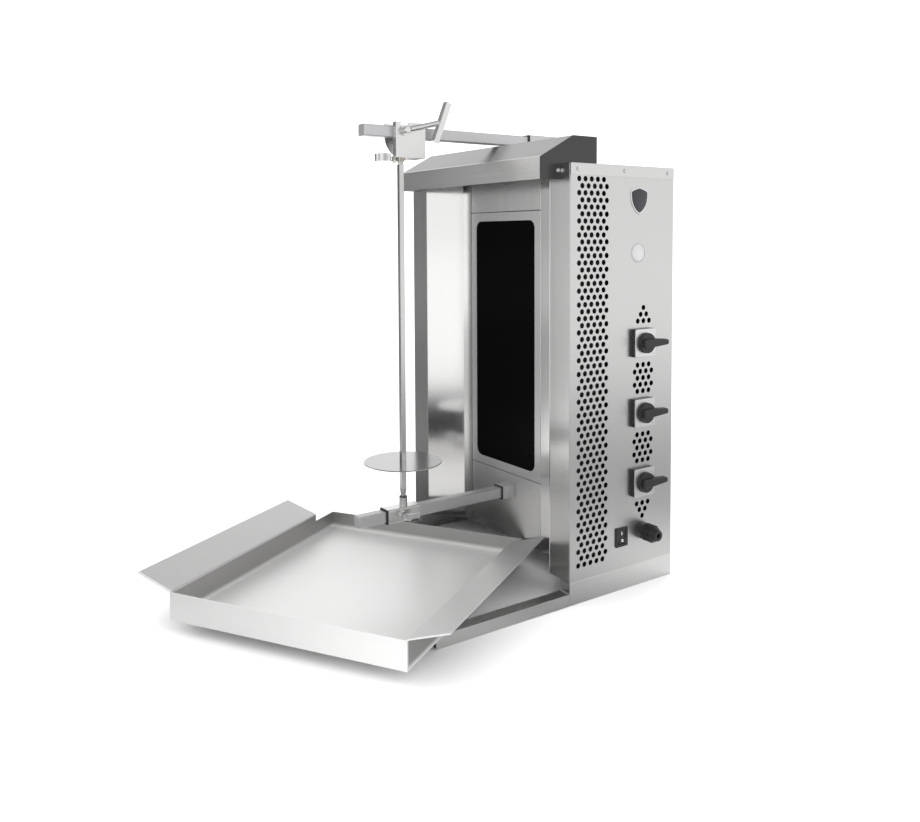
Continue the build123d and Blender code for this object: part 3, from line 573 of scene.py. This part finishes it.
def punched_holes(node, sign):
    """Centres and radii of the round holes in a side panel's outer face."""
    shape = bmesh.new()
    shape.from_mesh(NODES[node].data)
    bmesh.ops.remove_doubles(shape, verts=shape.verts, dist=1e-6)
    face_x = outer_face(node, sign)
    links = {}
    for edge in shape.edges:
        if any(abs(v.co.x - face_x) > 1e-5 for v in edge.verts):
            continue
        flat = [f for f in edge.link_faces if abs(f.normal.x) > 0.9]
        if len(flat) == 1 and len(edge.link_faces) == 2:
            first, second = (v.index for v in edge.verts)
            links.setdefault(first, []).append(second)
            links.setdefault(second, []).append(first)
    shape.verts.ensure_lookup_table()
    holes, seen = [], set()
    for start in sorted(links):
        if start in seen:
            continue
        loop, queue = [], [start]
        while queue:
            here = queue.pop()
            if here in seen:
                continue
            seen.add(here)
            loop.append(shape.verts[here].co.copy())
            queue.extend(links[here])
        middle = sum(loop, Vector()) / len(loop)
        radii = [(point - middle).length for point in loop]
        if len(loop) >= 12 and max(radii) - min(radii) < 0.0003 and max(radii) < LARGEST_HOLE:
            holes.append((middle, sum(radii) / len(radii)))
    shape.free()
    return holes


class Tree:
    """A Geometry Nodes tree built in code, with named inputs."""

    def __init__(self, name, inputs):
        self.tree = bpy.data.node_groups.new(name, "GeometryNodeTree")
        self.ids = {}
        face = self.tree.interface
        face.new_socket("Geometry", in_out="INPUT", socket_type="NodeSocketGeometry")
        for label, default in inputs.items():
            socket = face.new_socket(label, in_out="INPUT", socket_type="NodeSocketFloat")
            socket.default_value = default
            self.ids[label] = socket.identifier
        face.new_socket("Geometry", in_out="OUTPUT", socket_type="NodeSocketGeometry")
        self.start = self.node("NodeGroupInput")

    def node(self, kind, settings=None, **links):
        made = self.tree.nodes.new(kind)
        for key, value in (settings or {}).items():
            setattr(made, key, value)
        for key, value in links.items():
            socket = made.inputs[key.replace("_", " ")]
            if isinstance(value, bpy.types.NodeSocket):
                self.tree.links.new(value, socket)
            else:
                socket.default_value = value
        return made

    def finish(self, geometry, finish_name):
        """Realise the instances, set their material and close the tree."""
        real = self.node("GeometryNodeRealizeInstances", Geometry=geometry)
        done = self.node("GeometryNodeSetMaterial", Geometry=real.outputs[0], Material=material(finish_name))
        end = self.node("NodeGroupOutput")
        self.tree.links.new(done.outputs[0], end.inputs[0])

    def grow(self, name, points, values, body, slot, finish_name):
        """Run the tree on a set of points, and keep the result as a plain mesh on one body."""
        seeds = bpy.data.meshes.new(name + "_seeds")
        seeds.from_pydata([Vector(p) for p in points], [], [])
        carrier = bpy.data.objects.new(name + "_seeds", seeds)
        bpy.context.scene.collection.objects.link(carrier)
        modifier = carrier.modifiers.new("grow", "NODES")
        modifier.node_group = self.tree
        for label, value in values.items():
            modifier[self.ids[label]] = value
        bpy.context.view_layer.update()
        done = carrier.evaluated_get(bpy.context.evaluated_depsgraph_get())
        mesh = bpy.data.meshes.new_from_object(done)
        carrier.modifiers.remove(modifier)
        bpy.data.objects.remove(carrier)
        bpy.data.meshes.remove(seeds)
        mesh.name = name
        if not mesh.polygons:
            raise RuntimeError(f"{name} came out empty")
        return keep(name, mesh, body, finish_name)


def rim_tree(finish_name):
    """Rolled edge of a punched hole: a small ring facing along X, on each point."""
    tree = Tree("hole_rim", {"Radius": 0.005, "Width": 0.0005, "Depth": 0.0007})
    start = tree.start.outputs
    ring = tree.node("GeometryNodeCurvePrimitiveCircle", {"mode": "RADIUS"}, Resolution=16)
    tree.tree.links.new(start["Radius"], ring.inputs["Radius"])
    section = tree.node("GeometryNodeCurvePrimitiveQuadrilateral", {"mode": "RECTANGLE"})
    tree.tree.links.new(start["Width"], section.inputs["Width"])
    tree.tree.links.new(start["Depth"], section.inputs["Height"])
    swept = tree.node("GeometryNodeCurveToMesh", Curve=ring.outputs[0])
    tree.tree.links.new(section.outputs[0], swept.inputs["Profile Curve"])
    turned = tree.node("GeometryNodeTransform", Geometry=swept.outputs[0], Rotation=(0.0, pi / 2, 0.0))
    spread = tree.node("GeometryNodeInstanceOnPoints", Points=start["Geometry"], Instance=turned.outputs[0])
    tree.finish(spread.outputs[0], finish_name)
    return tree


def bead_tree(finish_name):
    """A weld bead: overlapping small scales along a line of points."""
    tree = Tree("weld_bead", {"Radius": 0.0012})
    start = tree.start.outputs
    scale = tree.node("GeometryNodeMeshIcoSphere", Subdivisions=2)
    tree.tree.links.new(start["Radius"], scale.inputs["Radius"])
    spread = tree.node("GeometryNodeInstanceOnPoints", Points=start["Geometry"], Instance=scale.outputs[0])
    tree.finish(spread.outputs[0], finish_name)
    return tree


# ---------------------------------------------------------------- operators that dress the CAD nodes
class GrillOperator:
    """Shared by the grill's operators."""

    bl_options = {"REGISTER"}

    def execute(self, context):
        self.make(context.scene)
        return {"FINISHED"}


class GRILL_OT_dress_sheets(GrillOperator, bpy.types.Operator):
    """Brush the body's folded sheets"""

    bl_idname = "grill.dress_sheets"
    bl_label = "Body sheets"

    def make(self, scene):
        dress(SHEETS)


class GRILL_OT_dress_base(GrillOperator, bpy.types.Operator):
    """Brush the base bars and cap the rails in plastic"""

    bl_idname = "grill.dress_base"
    bl_label = "Base"

    def make(self, scene):
        dress(BASE)


class GRILL_OT_dress_heating(GrillOperator, bpy.types.Operator):
    """Finish the glass and the heaters behind it"""

    bl_idname = "grill.dress_heating"
    bl_label = "Heating"

    def make(self, scene):
        dress(HEATING)


class GRILL_OT_dress_carriages(GrillOperator, bpy.types.Operator):
    """Brush the arms and polish the carriages that slide on them"""

    bl_idname = "grill.dress_carriages"
    bl_label = "Arms and carriages"

    def make(self, scene):
        dress(CARRIAGES)


class GRILL_OT_dress_spit(GrillOperator, bpy.types.Operator):
    """Polish the spit and its disc"""

    bl_idname = "grill.dress_spit"
    bl_label = "Spit and disc"

    def make(self, scene):
        dress(SPIT)


class GRILL_OT_dress_controls(GrillOperator, bpy.types.Operator):
    """Mould the switches, the rocker and the cable gland"""

    bl_idname = "grill.dress_controls"
    bl_label = "Controls"

    def make(self, scene):
        dress(CONTROLS)


class GRILL_OT_dress_fasteners(GrillOperator, bpy.types.Operator):
    """Plate the screws and rivets"""

    bl_idname = "grill.dress_fasteners"
    bl_label = "Fasteners"

    def make(self, scene):
        dress(FASTENERS)


class GRILL_OT_dress_tray(GrillOperator, bpy.types.Operator):
    """Brush the drip tray along its own length"""

    bl_idname = "grill.dress_tray"
    bl_label = "Drip tray"

    def make(self, scene):
        dress(TRAY)


# ---------------------------------------------------------------- operators that make pieces
class GRILL_OT_hole_rims(GrillOperator, bpy.types.Operator):
    """Roll the edge of every punched hole in the side panels"""

    bl_idname = "grill.hole_rims"
    bl_label = "Hole rims"

    def make(self, scene):
        detail = scene.grill_detail
        tree = rim_tree("steel_side")
        for node, sign in (("side_panel_left", -1), ("side_panel_right", 1)):
            holes = punched_holes(node, sign)
            small = [(c, r) for c, r in holes if r > SMALLEST_HOLE]
            if len(small) < FEWEST_HOLES:
                raise RuntimeError(f"only {len(small)} holes were found in {node}")
            radius = small[0][1]
            sunk = Vector((-sign * detail.rim_depth / 2, 0.0, 0.0))
            values = {
                "Radius": radius - detail.rim_width / 2, "Width": detail.rim_width, "Depth": detail.rim_depth,
            }
            name = node.replace("side_panel", "hole_rims")
            centres = [centre + sunk for centre, _ in small]
            tree.grow(name, centres, values, "cabinet", "brushed_steel_sheet", "steel_side")


class GRILL_OT_screens(GrillOperator, bpy.types.Operator):
    """Hang a folded dark screen behind each punched strip: it blocks the view through the holes, and its
    near-black colour is painted shade for the dark inside of the cabinet
    """

    bl_idname = "grill.screens"
    bl_label = "Heat screens"

    def make(self, scene):
        detail = scene.grill_detail
        inset = detail.screen_inset
        for node, sign in (("side_panel_left", -1), ("side_panel_right", 1)):
            low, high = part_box(node)
            x = outer_face(node, sign) - sign * detail.screen_gap
            start = Vector((x, low.y + inset, 0.0))
            end = start + Vector((0.0, detail.screen_width, 0.0))
            self.hang(node.replace("side_panel", "heat_screen"), start, end, Vector((sign, 0.0, 0.0)),
                      (low.z + inset, high.z - inset), detail)
        low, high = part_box("rear_panel")
        y = low.y - detail.screen_gap
        side = detail.screen_gap * 2
        self.hang("heat_screen_rear", Vector((low.x + side, y, 0.0)), Vector((high.x - side, y, 0.0)),
                  Vector((0.0, 1.0, 0.0)), (low.z + inset, high.z - inset), detail)

    def hang(self, name, start, end, outward, levels, detail):
        """Make one screen: a flat sheet from start to end with a lip turned outwards along each edge."""
        run = (end - start).normalized() * detail.screen_sheet
        lip, thin = outward * detail.screen_inset, outward * detail.screen_sheet
        section = [start + lip, start, end, end + lip, end + lip - run, end + thin - run,
                   start + thin + run, start + lip + run]
        shape = bmesh.new()
        loft(shape, [[point + Vector((0.0, 0.0, z)) for point in section] for z in levels])
        keep(name, mesh_of(name, shape), "cabinet", "enamel_dark")


def shield_outline(width, height):
    """Round-footed heraldic shield in Y and Z, about its own middle."""
    half, top = width / 2, height / 2
    left = [
        (-half * 0.42, top * 0.9), (-half * 0.8, top * 0.78), (-half, top * 0.66), (-half * 0.97, top * 0.3),
        (-half * 0.92, -top * 0.02), (-half * 0.78, -top * 0.36), (-half * 0.56, -top * 0.64),
        (-half * 0.28, -top * 0.87),
    ]
    right = [(-y, z) for y, z in reversed(left)]
    return [(0.0, top), *left, (0.0, -top), *right]


def flat_piece(name, outline, place, layers, seat=0.0, ring=False):
    """A thin plate or ring on the right side panel; layers are (x above its seat, outline scale)."""
    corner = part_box("side_panel_right")[0]
    base_x = outer_face("side_panel_right") + seat
    rings = [
        [Vector((base_x + height, corner.y + place[0] + y * scale, corner.z + place[1] + z * scale))
         for y, z in outline]
        for height, scale in layers
    ]
    shape = bmesh.new()
    if ring:
        hoop(shape, rings)
    else:
        loft(shape, rings)
    return mesh_of(name, shape, CREASE)


def circle(radius, count):
    """Points of a circle in its own plane."""
    return [(radius * cos(2 * pi * i / count), radius * sin(2 * pi * i / count)) for i in range(count)]


# how far each plate's middle is behind the panel's front edge and above its foot
SHIELD_PLACE = (0.178, 0.7195)
ROUND_PLACE = (0.176, 0.618)


class GRILL_OT_badges(GrillOperator, bpy.types.Operator):
    """Fix a blank shield plate and a blank round plate on the right side panel"""

    bl_idname = "grill.badges"
    bl_label = "Blank plates"

    def make(self, scene):
        detail = scene.grill_detail
        outline = shield_outline(detail.shield_width, detail.shield_height)
        rim = flat_piece("badge_rim", outline, SHIELD_PLACE,
                         ((0.0, 1.0), (0.0008, 1.0), (0.0012, 0.97), (0.0012, 0.9)))
        keep("badge_rim", rim, "cabinet", "metal_plated")
        field = flat_piece("badge_field", outline, SHIELD_PLACE,
                           ((0.0, 0.86), (0.0005, 0.86), (0.0007, 0.84)), seat=0.0009)
        keep("badge_field", field, "cabinet", "plastic_badge")
        disc = circle(detail.round_plate / 2, 48)
        plate = flat_piece("round_plate", disc, ROUND_PLACE, ((0.0, 1.0), (0.0003, 1.0), (0.0004, 0.985)))
        keep("round_plate", plate, "cabinet", "metal_satin")
        ring = flat_piece("round_plate_ring", disc, ROUND_PLACE,
                          ((0.0, 0.96), (0.0001, 0.96), (0.0001, 0.9), (0.0, 0.9)), seat=0.0004, ring=True)
        keep("round_plate_ring", ring, "cabinet", "print_grey")


def box_rings(centre, along, across, out, size, chamfer):
    """Rings of a small chamfered bar: size is (along, across, out)."""

    def corner_ring(inset, height):
        a, b = size[0] / 2 - inset, size[1] / 2 - inset
        corners = ((-a, -b), (a, -b), (a, b), (-a, b))
        return [centre + along * u + across * v + out * height for u, v in corners]

    return [corner_ring(0.0, 0.0), corner_ring(0.0, size[2] - chamfer), corner_ring(chamfer, size[2])]


class GRILL_OT_rocker_marks(GrillOperator, bpy.types.Operator):
    """Mould the bar and the ring on the rocker's two halves"""

    bl_idname = "grill.rocker_marks"
    bl_label = "Rocker marks"

    def make(self, scene):
        rocker = NODES["rocker"]
        low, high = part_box("rocker")
        middle = (low + high) / 2
        marks = []
        for side, name in ((1, "bar"), (-1, "ring")):
            target = middle.z + side * (high.z - low.z) * 0.27
            origin = Vector((high.x + 0.02, middle.y, target))
            hit, spot, normal, _ = rocker.ray_cast(origin, Vector((-1, 0, 0)))
            if not hit:
                raise RuntimeError("the rocker's face was not found")
            marks.append((name, spot, normal))
        size = scene.grill_detail.mark_length
        for name, spot, normal in marks:
            across = Vector((0, 1, 0))
            up = normal.cross(across).normalized()
            shape = bmesh.new()
            if name == "bar":
                loft(shape, box_rings(spot, up, across, normal, (size, size * 0.24, 0.0003), 0.0001))
            else:
                rings = []
                for radius, height in ((0.4, -0.0001), (0.4, 0.0003), (0.24, 0.0003), (0.24, -0.0001)):
                    points = circle(size * radius, 24)
                    rings.append([spot + across * u + up * v + normal * height for u, v in points])
                hoop(shape, rings)
            name = f"rocker_{name}"
            keep(name, mesh_of(name, shape), "rocker", "plastic_white")


def square_ring_rings(centre, half_out, half_in, start_y, end_y):
    """Rings of a square hoop round the Y axis."""
    corners = ((-1, -1), (1, -1), (1, 1), (-1, 1))

    def ring(half, y):
        return [Vector((centre.x + u * half, y, centre.z + v * half)) for u, v in corners]

    return [ring(half_out, start_y), ring(half_out, end_y), ring(half_in, end_y), ring(half_in, start_y)]


class GRILL_OT_liner_rings(GrillOperator, bpy.types.Operator):
    """Line the front of the lower sleeve and the mouth of the spit cup in black plastic"""

    bl_idname = "grill.liner_rings"
    bl_label = "Liner rings"

    def make(self, scene):
        detail = scene.grill_detail
        sleeve_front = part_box("lower_sleeve")[0].y
        arm_low, arm_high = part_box("lower_arm")
        centre = Vector(((arm_low.x + arm_high.x) / 2, 0.0, (arm_low.z + arm_high.z) / 2))
        half_in = (arm_high.z - arm_low.z) / 2 + 0.0002
        half_out = half_in + detail.liner_wall + 0.0014
        shape = bmesh.new()
        front = sleeve_front - detail.liner_length
        hoop(shape, square_ring_rings(centre, half_out, half_in, front, sleeve_front))
        liner = mesh_of("sleeve_liner", shape)
        keep("sleeve_liner", liner, "lower_carriage", "plastic_black")

        cup_low, cup_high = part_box("spit_cup")
        middle = (cup_low + cup_high) / 2
        top = cup_high.z
        radius = min(cup_high.x - cup_low.x, cup_high.y - cup_low.y) / 2
        shape = bmesh.new()
        rings = []
        inner, rise = radius - 0.0022, 0.0012
        for r, z in ((radius, top), (radius, top + rise), (inner, top + rise), (inner, top)):
            rings.append([Vector((middle.x + u, middle.y + v, z)) for u, v in circle(r, 32)])
        hoop(shape, rings)
        liner = mesh_of("cup_liner", shape, CREASE)
        keep("cup_liner", liner, "lower_carriage", "plastic_black")


def line_points(start, end, step):
    """Evenly spaced points from start to end."""
    start, end = Vector(start), Vector(end)
    count = max(int((end - start).length / step), 1)
    return [start.lerp(end, i / count) for i in range(count + 1)]


class GRILL_OT_welds(GrillOperator, bpy.types.Operator):
    """Lay the weld beads where the base bars meet"""

    bl_idname = "grill.welds"
    bl_label = "Weld beads"

    def make(self, scene):
        radius = scene.grill_detail.weld_radius
        points = []
        for node in ("rail_left", "rail_right"):
            low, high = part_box(node)
            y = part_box(node.replace("rail", "plinth"))[0].y
            points += line_points((low.x, y, high.z), (high.x, y, high.z), radius * 1.3)
        tree = bead_tree("metal_plated")
        tree.grow("weld_beads", points, {"Radius": radius}, "cabinet", "brushed_steel_sheet", "metal_plated")


class GRILL_OT_plate_marks(GrillOperator, bpy.types.Operator):
    """Print a small plain mark in the corner of each switch plate"""

    bl_idname = "grill.plate_marks"
    bl_label = "Switch plate marks"

    def make(self, scene):
        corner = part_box("switch_plates")[1]
        for level in ("upper", "middle", "lower"):
            knob_low, knob_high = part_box(f"knob_{level}")
            middle_z = (knob_low.z + knob_high.z) / 2
            spot = Vector((corner.x, corner.y - 0.006, middle_z - 0.0225))
            shape = bmesh.new()
            loft(shape, box_rings(spot, Vector((0, 1, 0)), Vector((0, 0, 1)), Vector((1, 0, 0)),
                                  (0.004, 0.0016, 0.0001), 0.00002))
            name = f"plate_mark_{level}"
            keep(name, mesh_of(name, shape), "cabinet", "print_grey")


# ---------------------------------------------------------------- stage
GLOWS = (
    # direction, strength, tightness
    ((0.67, 0.74, 0.05), 0.62, 2.5),
    ((0.5, -0.86, 0.05), 0.7, 8.0),
    ((-0.82, 0.55, 0.16), 0.75, 7.0),
    ((-0.56, -0.83, 0.06), 1.15, 34.0),
    ((-0.88, -0.47, 0.0), -0.27, 10.0),
)
GLOW_BASE = 0.33
FILL_LIGHT = 1.5


def studio_level(g, direction):
    """Brightness of the studio that the steel mirrors, by direction."""
    level = GLOW_BASE
    for aim, strength, tightness in GLOWS:
        facing = direction.dot(Vector(aim).normalized())
        glow = facing.math("MAXIMUM", facing, 0.0) ** tightness
        level = glow * strength + level
    return level


def mirrored_floor(g):
    """How bright the floor looks in the steel, by place, as if cards and shades stood on it."""
    coords = g.node("ShaderNodeTexCoord", output=3)
    settings = {"operation": "SUBTRACT"}
    offset = g.node("ShaderNodeVectorMath", settings, {0: coords, 1: (0.0, -0.2, 0.0)})
    way = g.node("ShaderNodeVectorMath", {"operation": "NORMALIZE"}, {0: offset})
    reach = g.node("ShaderNodeVectorMath", {"operation": "LENGTH"}, {0: offset}, output=1)
    level = studio_level(g, way)
    right_rear = way.dot(Vector((0.67, 0.74, 0.0))).above(0.3, 0.9)
    dip = reach.above(0.4, 0.9) * (1.0 - reach.above(1.0, 3.8))
    level = level * (1.0 - right_rear * dip * 0.6)
    front_right = way.dot(Vector((0.42, -0.9, 0.0))).above(0.6, 0.9)
    band = reach.above(0.78, 0.95) * (1.0 - reach.above(1.45, 2.1))
    level = level * (1.0 - front_right * band)
    front_left = way.dot(Vector((-0.79, -0.61, 0.0))).above(0.5, 0.9)
    shade = reach.above(1.1, 2.0) * (1.0 - reach.above(4.0, 7.0))
    level = level * (1.0 - front_left * shade * 0.35)
    left = way.dot(Vector((-0.98, 0.2, 0.0))).above(0.6, 0.95)
    level = level + left * 0.2
    foot = way.dot(Vector((-0.6, -0.8, 0.0))).above(0.2, 0.9) * (1.0 - reach.above(0.5, 1.1))
    return level * (1.0 - foot * 0.5)


class GRILL_OT_stage(GrillOperator, bpy.types.Operator):
    """Set up the camera, the floor, the overhead light and the studio"""

    bl_idname = "grill.stage"
    bl_label = "Stage"

    def make(self, scene):
        stage = scene.grill_stage
        self.add_camera(scene, stage)
        self.add_floor(scene, stage)
        self.add_light(scene, stage)
        self.add_world(scene)
        scene.view_settings.view_transform = "Standard"

    def add_camera(self, scene, stage):
        back = Vector((
            sin(stage.azimuth) * cos(stage.pitch), -cos(stage.azimuth) * cos(stage.pitch), sin(stage.pitch),
        ))
        right = Vector((0, 0, 1)).cross(back).normalized()
        up = back.cross(right)
        axes = Matrix((right, up, back)).transposed() @ Matrix.Rotation(stage.roll, 3, "Z")
        data = bpy.data.cameras.new("camera")
        data.lens = stage.lens
        data.sensor_width = 36.0
        data.shift_y = stage.shift
        data.clip_start = 0.05
        data.clip_end = 200.0
        camera = bpy.data.objects.new("camera", data)
        camera.matrix_world = Matrix.Translation(stage.eye) @ axes.to_4x4()
        scene.collection.objects.link(camera)
        scene.camera = camera

    def add_floor(self, scene, stage):
        mesh = bpy.data.meshes.new("floor")
        half = stage.floor_size / 2
        corners = [Vector(c) for c in ((-half, -half, 0), (half, -half, 0), (half, half, 0), (-half, half, 0))]
        mesh.from_pydata(corners, [], [(0, 1, 2, 3)])
        floor = bpy.data.objects.new("floor", mesh)
        scene.collection.objects.link(floor)
        floor_material, g = finish("floor_pale")
        in_steel = g.node("ShaderNodeLightPath", output=3)
        shade = mirrored_floor(g) * (1.0 / FILL_LIGHT)
        plain = g.node("ShaderNodeBsdfDiffuse", {}, {"Color": grey(stage.floor_level)})
        mirrored = g.node("ShaderNodeBsdfDiffuse", {}, {"Color": g.mix(shade, grey(0.0), grey(1.0))})
        both = g.node("ShaderNodeMixShader", {}, {0: in_steel, 1: plain, 2: mirrored})
        g.node("ShaderNodeOutputMaterial", {}, {"Surface": both})
        mesh.materials.append(floor_material)

    def add_light(self, scene, stage):
        data = bpy.data.lights.new("overhead", "SUN")
        data.energy = stage.sun_power
        data.angle = radians(110)
        light = bpy.data.objects.new("overhead", data)
        light.location = (0.0, 0.0, 3.0)
        light.visible_glossy = False
        scene.collection.objects.link(light)

    def add_world(self, scene):
        world = bpy.data.worlds.new("studio")
        scene.world = world
        world.cycles.sampling_method = "NONE"
        g = Graph(world)
        direction = g.node("ShaderNodeTexCoord")
        mirrored = g.node("ShaderNodeLightPath", output=3)
        level = studio_level(g, direction)
        studio = g.node("ShaderNodeBackground", {}, {"Color": grey(1.0), "Strength": level})
        plain = g.node("ShaderNodeBackground", {}, {"Color": grey(1.0), "Strength": FILL_LIGHT})
        both = g.node("ShaderNodeMixShader", {}, {0: mirrored, 1: plain, 2: studio})
        g.node("ShaderNodeOutputWorld", {}, {"Surface": both})


# ---------------------------------------------------------------- add-on
OPERATORS = (
    GRILL_OT_dress_sheets,
    GRILL_OT_dress_base,
    GRILL_OT_dress_heating,
    GRILL_OT_dress_carriages,
    GRILL_OT_dress_spit,
    GRILL_OT_dress_controls,
    GRILL_OT_dress_fasteners,
    GRILL_OT_dress_tray,
    GRILL_OT_hole_rims,
    GRILL_OT_screens,
    GRILL_OT_badges,
    GRILL_OT_rocker_marks,
    GRILL_OT_liner_rings,
    GRILL_OT_welds,
    GRILL_OT_plate_marks,
    GRILL_OT_stage,
)
GROUPS = {"grill_stage": GrillStage, "grill_finish": GrillFinish, "grill_detail": GrillDetail}


class GRILL_PT_pieces(bpy.types.Panel):
    """Lists the grill's operators and settings"""

    bl_idname = "GRILL_PT_pieces"
    bl_label = "Kebab grill"
    bl_space_type = "VIEW_3D"
    bl_region_type = "UI"
    bl_category = "Kebab grill"

    def draw(self, context):
        for operator in OPERATORS:
            self.layout.operator(operator.bl_idname, text=operator.bl_label)
        for group, kind in GROUPS.items():
            box = self.layout.box()
            for name in kind.__annotations__:
                box.prop(getattr(context.scene, group), name)


def register():
    for kind in (*GROUPS.values(), *OPERATORS, GRILL_PT_pieces):
        bpy.utils.register_class(kind)
    for name, kind in GROUPS.items():
        setattr(bpy.types.Scene, name, bpy.props.PointerProperty(type=kind))


def unregister():
    for name in GROUPS:
        delattr(bpy.types.Scene, name)
    for kind in reversed((*GROUPS.values(), *OPERATORS, GRILL_PT_pieces)):
        bpy.utils.unregister_class(kind)


def main():
    register()
    for operator in OPERATORS:
        getattr(bpy.ops.grill, operator.bl_idname.split(".")[1])()


if __name__ == "__main__":
    main()
